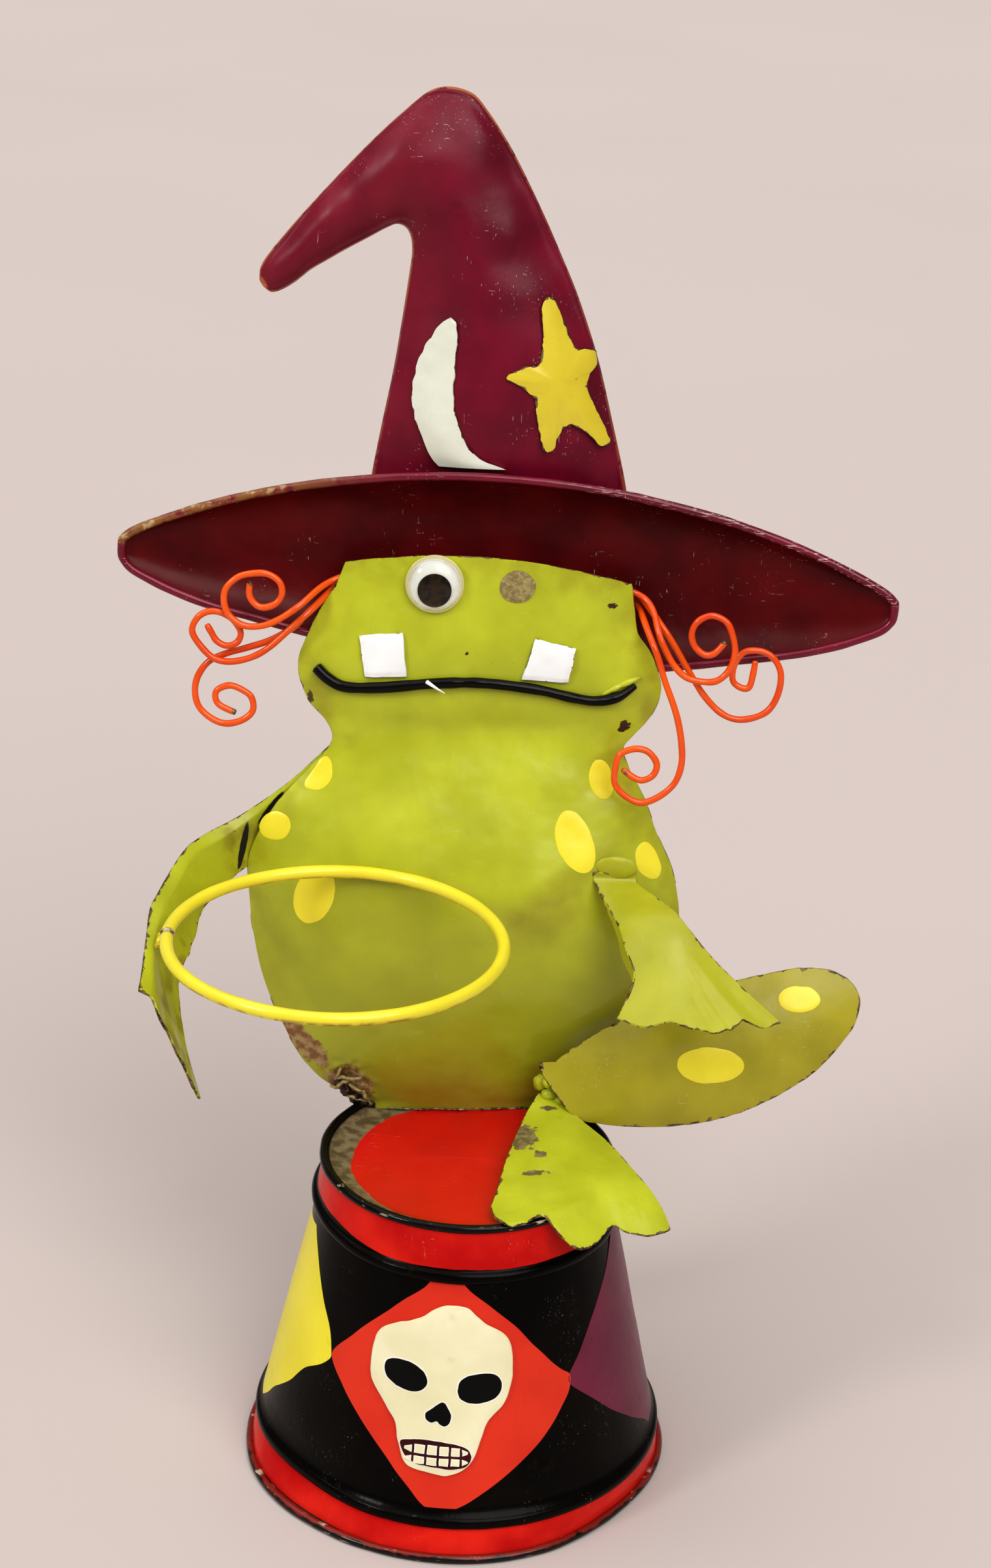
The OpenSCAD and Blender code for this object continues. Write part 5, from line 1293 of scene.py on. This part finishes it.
CROWN_LEFT = [(-44.5, 206), (-44, 215), (-43, 225), (-40, 243), (-36.5, 263), (-33, 290), (-32, 301),
    (-33.5, 307), (-37, 309), (-41, 307.5), (-47, 304), (-54, 300), (-60, 296.3), (-66, 292.5), (-71, 288.3),
    (-75.5, 285.5), (-79, 284.5), (-81.5, 286)]
CROWN_RIGHT = [(46, 206), (45.5, 215), (44, 225), (38.5, 246), (32.5, 267), (25, 287), (18, 302), (11, 316),
    (1, 334), (-8, 347), (-15, 353.5), (-26, 354), (-37, 345.5), (-51, 331.5), (-68, 312.5), (-79, 299),
    (-82.8, 293), (-83.2, 288.5)]
CROWN_N = -16.5
CROWN_PUFF = [(0, 0), (1, 1.5), (2, 7), (3, 12), (4, 13), (5, 12), (6, 11), (7, 11), (8, 11), (9, 11), (10, 11),
    (11, 10), (12, 9), (13, 8), (14, 6.5), (15, 4.5), (16, 2.5), (17, 0.8)]


def crown_relief(x, s):
    """Hammer dents, deeper over the bend and out to the tip."""
    bend = ease((s - 280) / 25)
    return (0.8 + 0.5 * bend) * lumps(x, s, 19, 191) + (0.4 + 0.35 * bend) * lumps(x, s, 11, 192)


def crown():
    steps, cols = 14, 84
    left, right = open_curve(CROWN_LEFT, steps), open_curve(CROWN_RIGHT, steps)
    u = ((1 - np.cos(np.linspace(0, math.pi, cols))) / 2)[None, :]
    puff = at(CROWN_PUFF, np.arange(len(left)) / steps)[:, None] * (4 * u * (1 - u)) ** 0.7
    p = mix(left[:, None], right[:, None], u[..., None])
    # the outline's lip is hammered up a little
    width = np.linalg.norm(right - left, axis=1)[:, None]
    near = np.minimum(u, 1 - u) * width
    lip = 0.8 * np.exp(-((near - 1.0) / 1.1) ** 2)
    inner = ease(near / 5)
    n = CROWN_N + puff + inner * crown_relief(p[..., 0], p[..., 1]) + lip
    v, f, e = sheet_mesh(on_frog(p[..., 0], p[..., 1], n), SHEET_T)
    piece("hat_crown_tin", v, f, crown_paint, "maroon_enamel", ["hat_crown"], edge=e)
    beads = [blob_mesh(on_frog(x, 204.6, CROWN_N + 0.6), (2.2, 1.2, 1.3), 195 + i) for i, x in
             enumerate((-34, -17, 0, 17, 34))]
    piece("crown_beads", *joined(beads)[:2], crown_paint, "maroon_enamel", ["crown_weld"])


CROWN_X_LEFT = [(206, -44.5), (225, -43), (243, -40), (263, -36.5), (290, -33), (301, -32)]
CROWN_X_RIGHT = [(206, 46), (225, 44), (246, 38.5), (267, 32.5), (287, 25), (302, 18)]
CROWN_S_PUFF = [(206, 0), (215, 1.5), (225, 7), (244, 12), (264, 13), (289, 12), (301, 11)]


def crown_front(x, s):
    left, right = at(CROWN_X_LEFT, s), at(CROWN_X_RIGHT, s)
    u = np.clip((x - left) / (right - left), 0, 1)
    return CROWN_N + at(CROWN_S_PUFF, s) * (4 * u * (1 - u)) ** 0.7


MOON_LEFT = [(229, -20), (231.5, -22.5), (238.5, -26), (246, -29), (255.5, -30), (261.5, -29), (269, -26.5),
    (275.5, -22.5), (278, -20.5), (279.5, -18.5)]
MOON_RIGHT = [(229, 3), (232.5, -6.5), (237.5, -11.5), (245, -14.5), (253, -16), (262, -16), (271, -15.5),
    (278, -16), (279.5, -17.5)]


def moon():
    s = np.linspace(MOON_LEFT[0][0], MOON_LEFT[-1][0], 90)[:, None]
    u = np.linspace(0, 1, 34)[None, :]
    left = at(MOON_LEFT, s) + 0.3 * lumps(s, s * 0, 2.6, 201)
    right = at(MOON_RIGHT, s) + 0.3 * lumps(s, s * 0, 2.6, 202)
    x = mix(left, right, u)
    s = s + 0 * u
    n = crown_front(x, s) + 1.5 + 0.8 * np.sin(math.pi * u) + 0.14 * lumps(x, s, 5, 203)
    v, f, e = sheet_mesh(on_frog(x, s, n), 1)
    piece("moon_tin", v, f, moon_paint, "ivory_enamel", ["moon_plate"], edge=e)


STAR_MID = np.array([20, 259.0])
STAR = [(14, 287.5), (16.5, 287.5), (17.5, 285.5), (21.5, 277), (24.5, 271), (28, 270.5), (31.5, 269.5),
    (32, 265), (30, 262), (29, 258), (31, 253.5), (34, 248), (37, 242), (38, 239.5), (36, 238), (34, 238.5),
    (30.5, 242), (26.5, 244.5), (23.5, 245.5), (20, 241.5), (19, 237), (17, 235.5), (15, 237), (14, 241.5),
    (12.5, 248), (11.5, 253.5), (9.5, 256), (5.5, 258.5), (2, 260), (2.5, 261.5), (5, 263), (8.5, 264.5),
    (12.5, 265.5), (13.5, 272), (13, 278.5), (12.5, 284)]


def star():
    edge = closed_curve(STAR, 9)
    edge = edge + 0.25 * np.stack([lumps(edge[:, 0], edge[:, 1], 2, 211), lumps(edge[:, 1], edge[:, 0], 2, 212)], -1)

    def face(p, k):
        n = crown_front(p[..., 0], p[..., 1]) + 1.5 + 0.8 * (1 - k * k) + 0.12 * lumps(p[..., 0], p[..., 1], 5, 213)
        return on_frog(p[..., 0], p[..., 1], n)
    rings = [face(mix(STAR_MID, edge, k), k) for k in np.linspace(0.06, 1, 16)]
    v, f, e = ringed_mesh(face(STAR_MID, 0), rings, -FRONT, 1)
    piece("star_tin", v, f, star_paint, "star_enamel", ["star_plate"], edge=e)


# ---------- hair ----------

HAIR = {
    "hair_left_a": (-2.6, 9.5, [
        (-50, 191), (-58, 187.5), (-65, 182), (-72, 177), (-78, 174.5), (-84, 174.5), (-88.5, 177.5), (-90.5, 182),
        (-90, 187), (-86, 191), (-81, 192.5), (-76, 192.5), (-72, 190), (-71, 186), (-73, 182.5), (-77, 181),
        (-80, 182), (-82, 185), (-82, 189)]),
    "hair_left_b": (-5.2, 6.5, [
        (-50, 190), (-60, 181), (-66.5, 175), (-71.5, 170), (-76.5, 165.5), (-82, 162.5), (-88.5, 161), (-94, 162),
        (-98.5, 166), (-101.5, 171), (-100, 175.5), (-96.5, 178), (-92, 178), (-87.5, 175.5), (-85, 171.5),
        (-86, 168), (-89.5, 166.5), (-93, 168), (-95, 171), (-96.5, 173.5)]),
    "hair_left_c": (-7.8, 3.5, [
        (-50, 187), (-56, 183), (-62.5, 178.5), (-67, 173.5), (-75, 168.5), (-83, 165.5), (-90.5, 163), (-96, 160),
        (-99.5, 155), (-100.5, 149.5), (-99, 144), (-94.5, 140), (-89.5, 138.5), (-84, 140), (-80.5, 143.5),
        (-81, 148), (-84, 150.5), (-88.5, 152), (-92.5, 150.5), (-93.5, 148), (-92, 145), (-86.5, 142.5)]),
    "hair_right_a": (-2.6, 7.5, [
        (47, 190), (52.5, 187.5), (55.5, 183.5), (57, 178.5), (59, 173.5), (62.5, 167.5), (67, 163), (72.5, 161.5),
        (78, 162), (82, 166), (83.5, 172), (82.5, 177.5), (80, 182.5), (75, 184.5), (70.5, 182.5), (68.5, 178.5),
        (69.5, 174), (73, 171), (76.5, 171.5), (80, 175.5)]),
    "hair_right_b": (-5.2, 3.5, [
        (46, 190), (52, 186.5), (58.5, 179), (62.5, 173.5), (69.5, 162.5), (74, 156), (79.5, 150.5), (85, 148),
        (91, 148.5), (96.5, 151.5), (99.5, 157.5), (100, 164.5), (97.5, 169.5), (93.5, 172), (88, 172), (85, 169.5),
        (83.5, 165), (84, 161), (87, 159), (89.5, 159.5), (90.5, 164), (91, 168.5)]),
    "hair_right_c": (-7.8, 10, [
        (45, 188), (50, 184.5), (53.5, 178), (57, 170.5), (60, 162), (63.5, 153.5), (65.5, 147.5), (67, 140.5),
        (67.5, 133), (65.5, 126), (60.5, 121), (54.5, 118.5), (49, 120.5), (45, 125), (45, 131.5), (46.5, 135.5),
        (51.5, 137.5), (56, 136.5), (59, 132.5), (58, 128.5), (54.5, 126.5), (51, 127.5), (47.5, 130)]),
}
HAIR_R = 1.15
CLEAR_OF_HEAD = 18


def hair():
    for seed, (node, (n_start, n_end, points)) in enumerate(HAIR.items()):
        line = open_curve(points, 9)
        away = np.linalg.norm(line - line[0], axis=1)
        n = mix(n_start, n_end, ease((away - 2) / CLEAR_OF_HEAD))
        run = np.arange(len(line)) * 1.0
        r = HAIR_R * (1 + 0.05 * lumps(run, run * 0, 5, 221 + seed))
        r[-4:] *= [0.98, 0.95, 0.9, 0.82]
        v, f, e = rod_mesh(on_frog(line[:, 0], line[:, 1], n), r, 16, blunt=0.7)
        piece(node + "_wire", v, f, hair_paint, "orange_enamel", [node], edge=e, sharp=50)
    for node, x in (("hair_weld_left", -48.6), ("hair_weld_right", 44.4)):
        beads = [blob_mesh(on_frog(x, s, n), (2.0, 1.6, 1.7), 231 + i, rough=0.25) for i, (s, n) in
                 enumerate(((190, -2.4), (189, -5), (187, -7.6)))]
        piece(node + "_beads", *joined(beads)[:2], burnt_metal, "weld_metal", [node])


# ---------- floor, light and camera ----------


def stage():
    half = 9.0
    mesh = bpy.data.meshes.new("floor")
    mesh.from_pydata([(-half, -half, 0), (half, -half, 0), (half, half, 0), (-half, half, 0)], [], [(0, 1, 2, 3)])
    t = Tree("floor_cloth")
    t.put(t.shader.inputs["Base Color"], t.colours(t.noise(600, 3), (0.52, 0.455, 0.438), (0.555, 0.49, 0.472)))
    t.put(t.shader.inputs["Roughness"], t.math("ADD", t.math("MULTIPLY", t.noise(40, 2), 0.05), 0.85))
    mesh.materials.append(t.material)
    floor = bpy.data.objects.new("floor", mesh)
    bpy.context.scene.collection.objects.link(floor)


def sun(name, towards, strength, angle, colour):
    """A soft light that is even over the whole floor. towards points at the light."""
    lamp = bpy.data.lights.new(name, "SUN")
    lamp.energy, lamp.angle, lamp.color = strength, math.radians(angle), colour
    obj = bpy.data.objects.new(name, lamp)
    bpy.context.scene.collection.objects.link(obj)
    back = unit(np.asarray(towards, float))
    right = unit(np.cross([0, 0, 1.0], back))
    axes = np.stack([right, np.cross(back, right), back]).T
    obj.matrix_world = Matrix([[*row, 0] for row in axes] + [[0, 0, 0, 1]])


def light():
    world = bpy.data.worlds.new("studio")
    world.use_nodes = True
    nodes, links = world.node_tree.nodes, world.node_tree.links
    light = nodes["Background"]
    light.inputs["Color"].default_value = (1.0, 0.95, 0.92, 1)
    light.inputs["Strength"].default_value = 0.24
    # beyond the floor's edge the studio is as pale as the floor, without lighting the object any more
    pale = nodes.new("ShaderNodeBackground")
    pale.inputs["Color"].default_value = (0.612, 0.527, 0.492, 1)
    mix_shader, path = nodes.new("ShaderNodeMixShader"), nodes.new("ShaderNodeLightPath")
    links.new(path.outputs["Is Camera Ray"], mix_shader.inputs[0])
    links.new(light.outputs[0], mix_shader.inputs[1])
    links.new(pale.outputs[0], mix_shader.inputs[2])
    links.new(mix_shader.outputs[0], nodes["World Output"].inputs["Surface"])
    bpy.context.scene.world = world
    sun("key_right", (0.50, -0.95, 1.0), 1.6, 42, (1.0, 0.97, 0.93))
    sun("window_left", (-1.0, -0.75, 0.75), 0.7, 12, (1.0, 0.98, 0.95))
    sun("overhead", (-0.3, -0.05, 1.2), 1.45, 75, (1.0, 0.98, 0.96))


def camera():
    """A long lens 1.09 m away, looking 22.7 degrees down, rolled a little."""
    place = np.array([2.6, -887.1, 627.0]) * MM
    down, swing, roll = math.radians(22.71), math.radians(0.09), math.radians(-2.56)
    ahead = np.array([math.sin(swing) * math.cos(down), math.cos(swing) * math.cos(down), -math.sin(down)])
    level = np.array([math.cos(swing), -math.sin(swing), 0])
    above = np.cross(level, ahead)
    right = math.cos(roll) * level - math.sin(roll) * above
    up = math.sin(roll) * level + math.cos(roll) * above
    data = bpy.data.cameras.new("camera")
    data.lens, data.sensor_width = 67.28, 36
    data.clip_start, data.clip_end = 0.05, 40
    obj = bpy.data.objects.new("camera", data)
    bpy.context.scene.collection.objects.link(obj)
    obj.matrix_world = Matrix([[*row, p] for row, p in zip(np.stack([right, up, -ahead]).T, place)] + [[0, 0, 0, 1]])
    bpy.context.scene.camera = obj
    bpy.context.scene.view_settings.view_transform = "Standard"
    bpy.context.scene.view_settings.look = "Medium High Contrast"


# ---------- assembly ----------

camera()
stage()
light()
drum()
ring_piece("drum_top_roll", 49.7, 1.5, 116.5, rim_paint, "drum_top_rim", 35)
ring_piece("drum_foot_roll", 73.4, 1.6, 1.55, foot_rim_paint, "drum_foot_rim", 38, sway=1.0)
top_disc()
drum_fields()
skull()
skull_face()
body()
body_spots()
torn_corner()
seat_weld()
arm()
hoop()
hand()
thigh()
foot()
mouth()
teeth()
eye()
brim()
crown()
moon()
star()
hair()
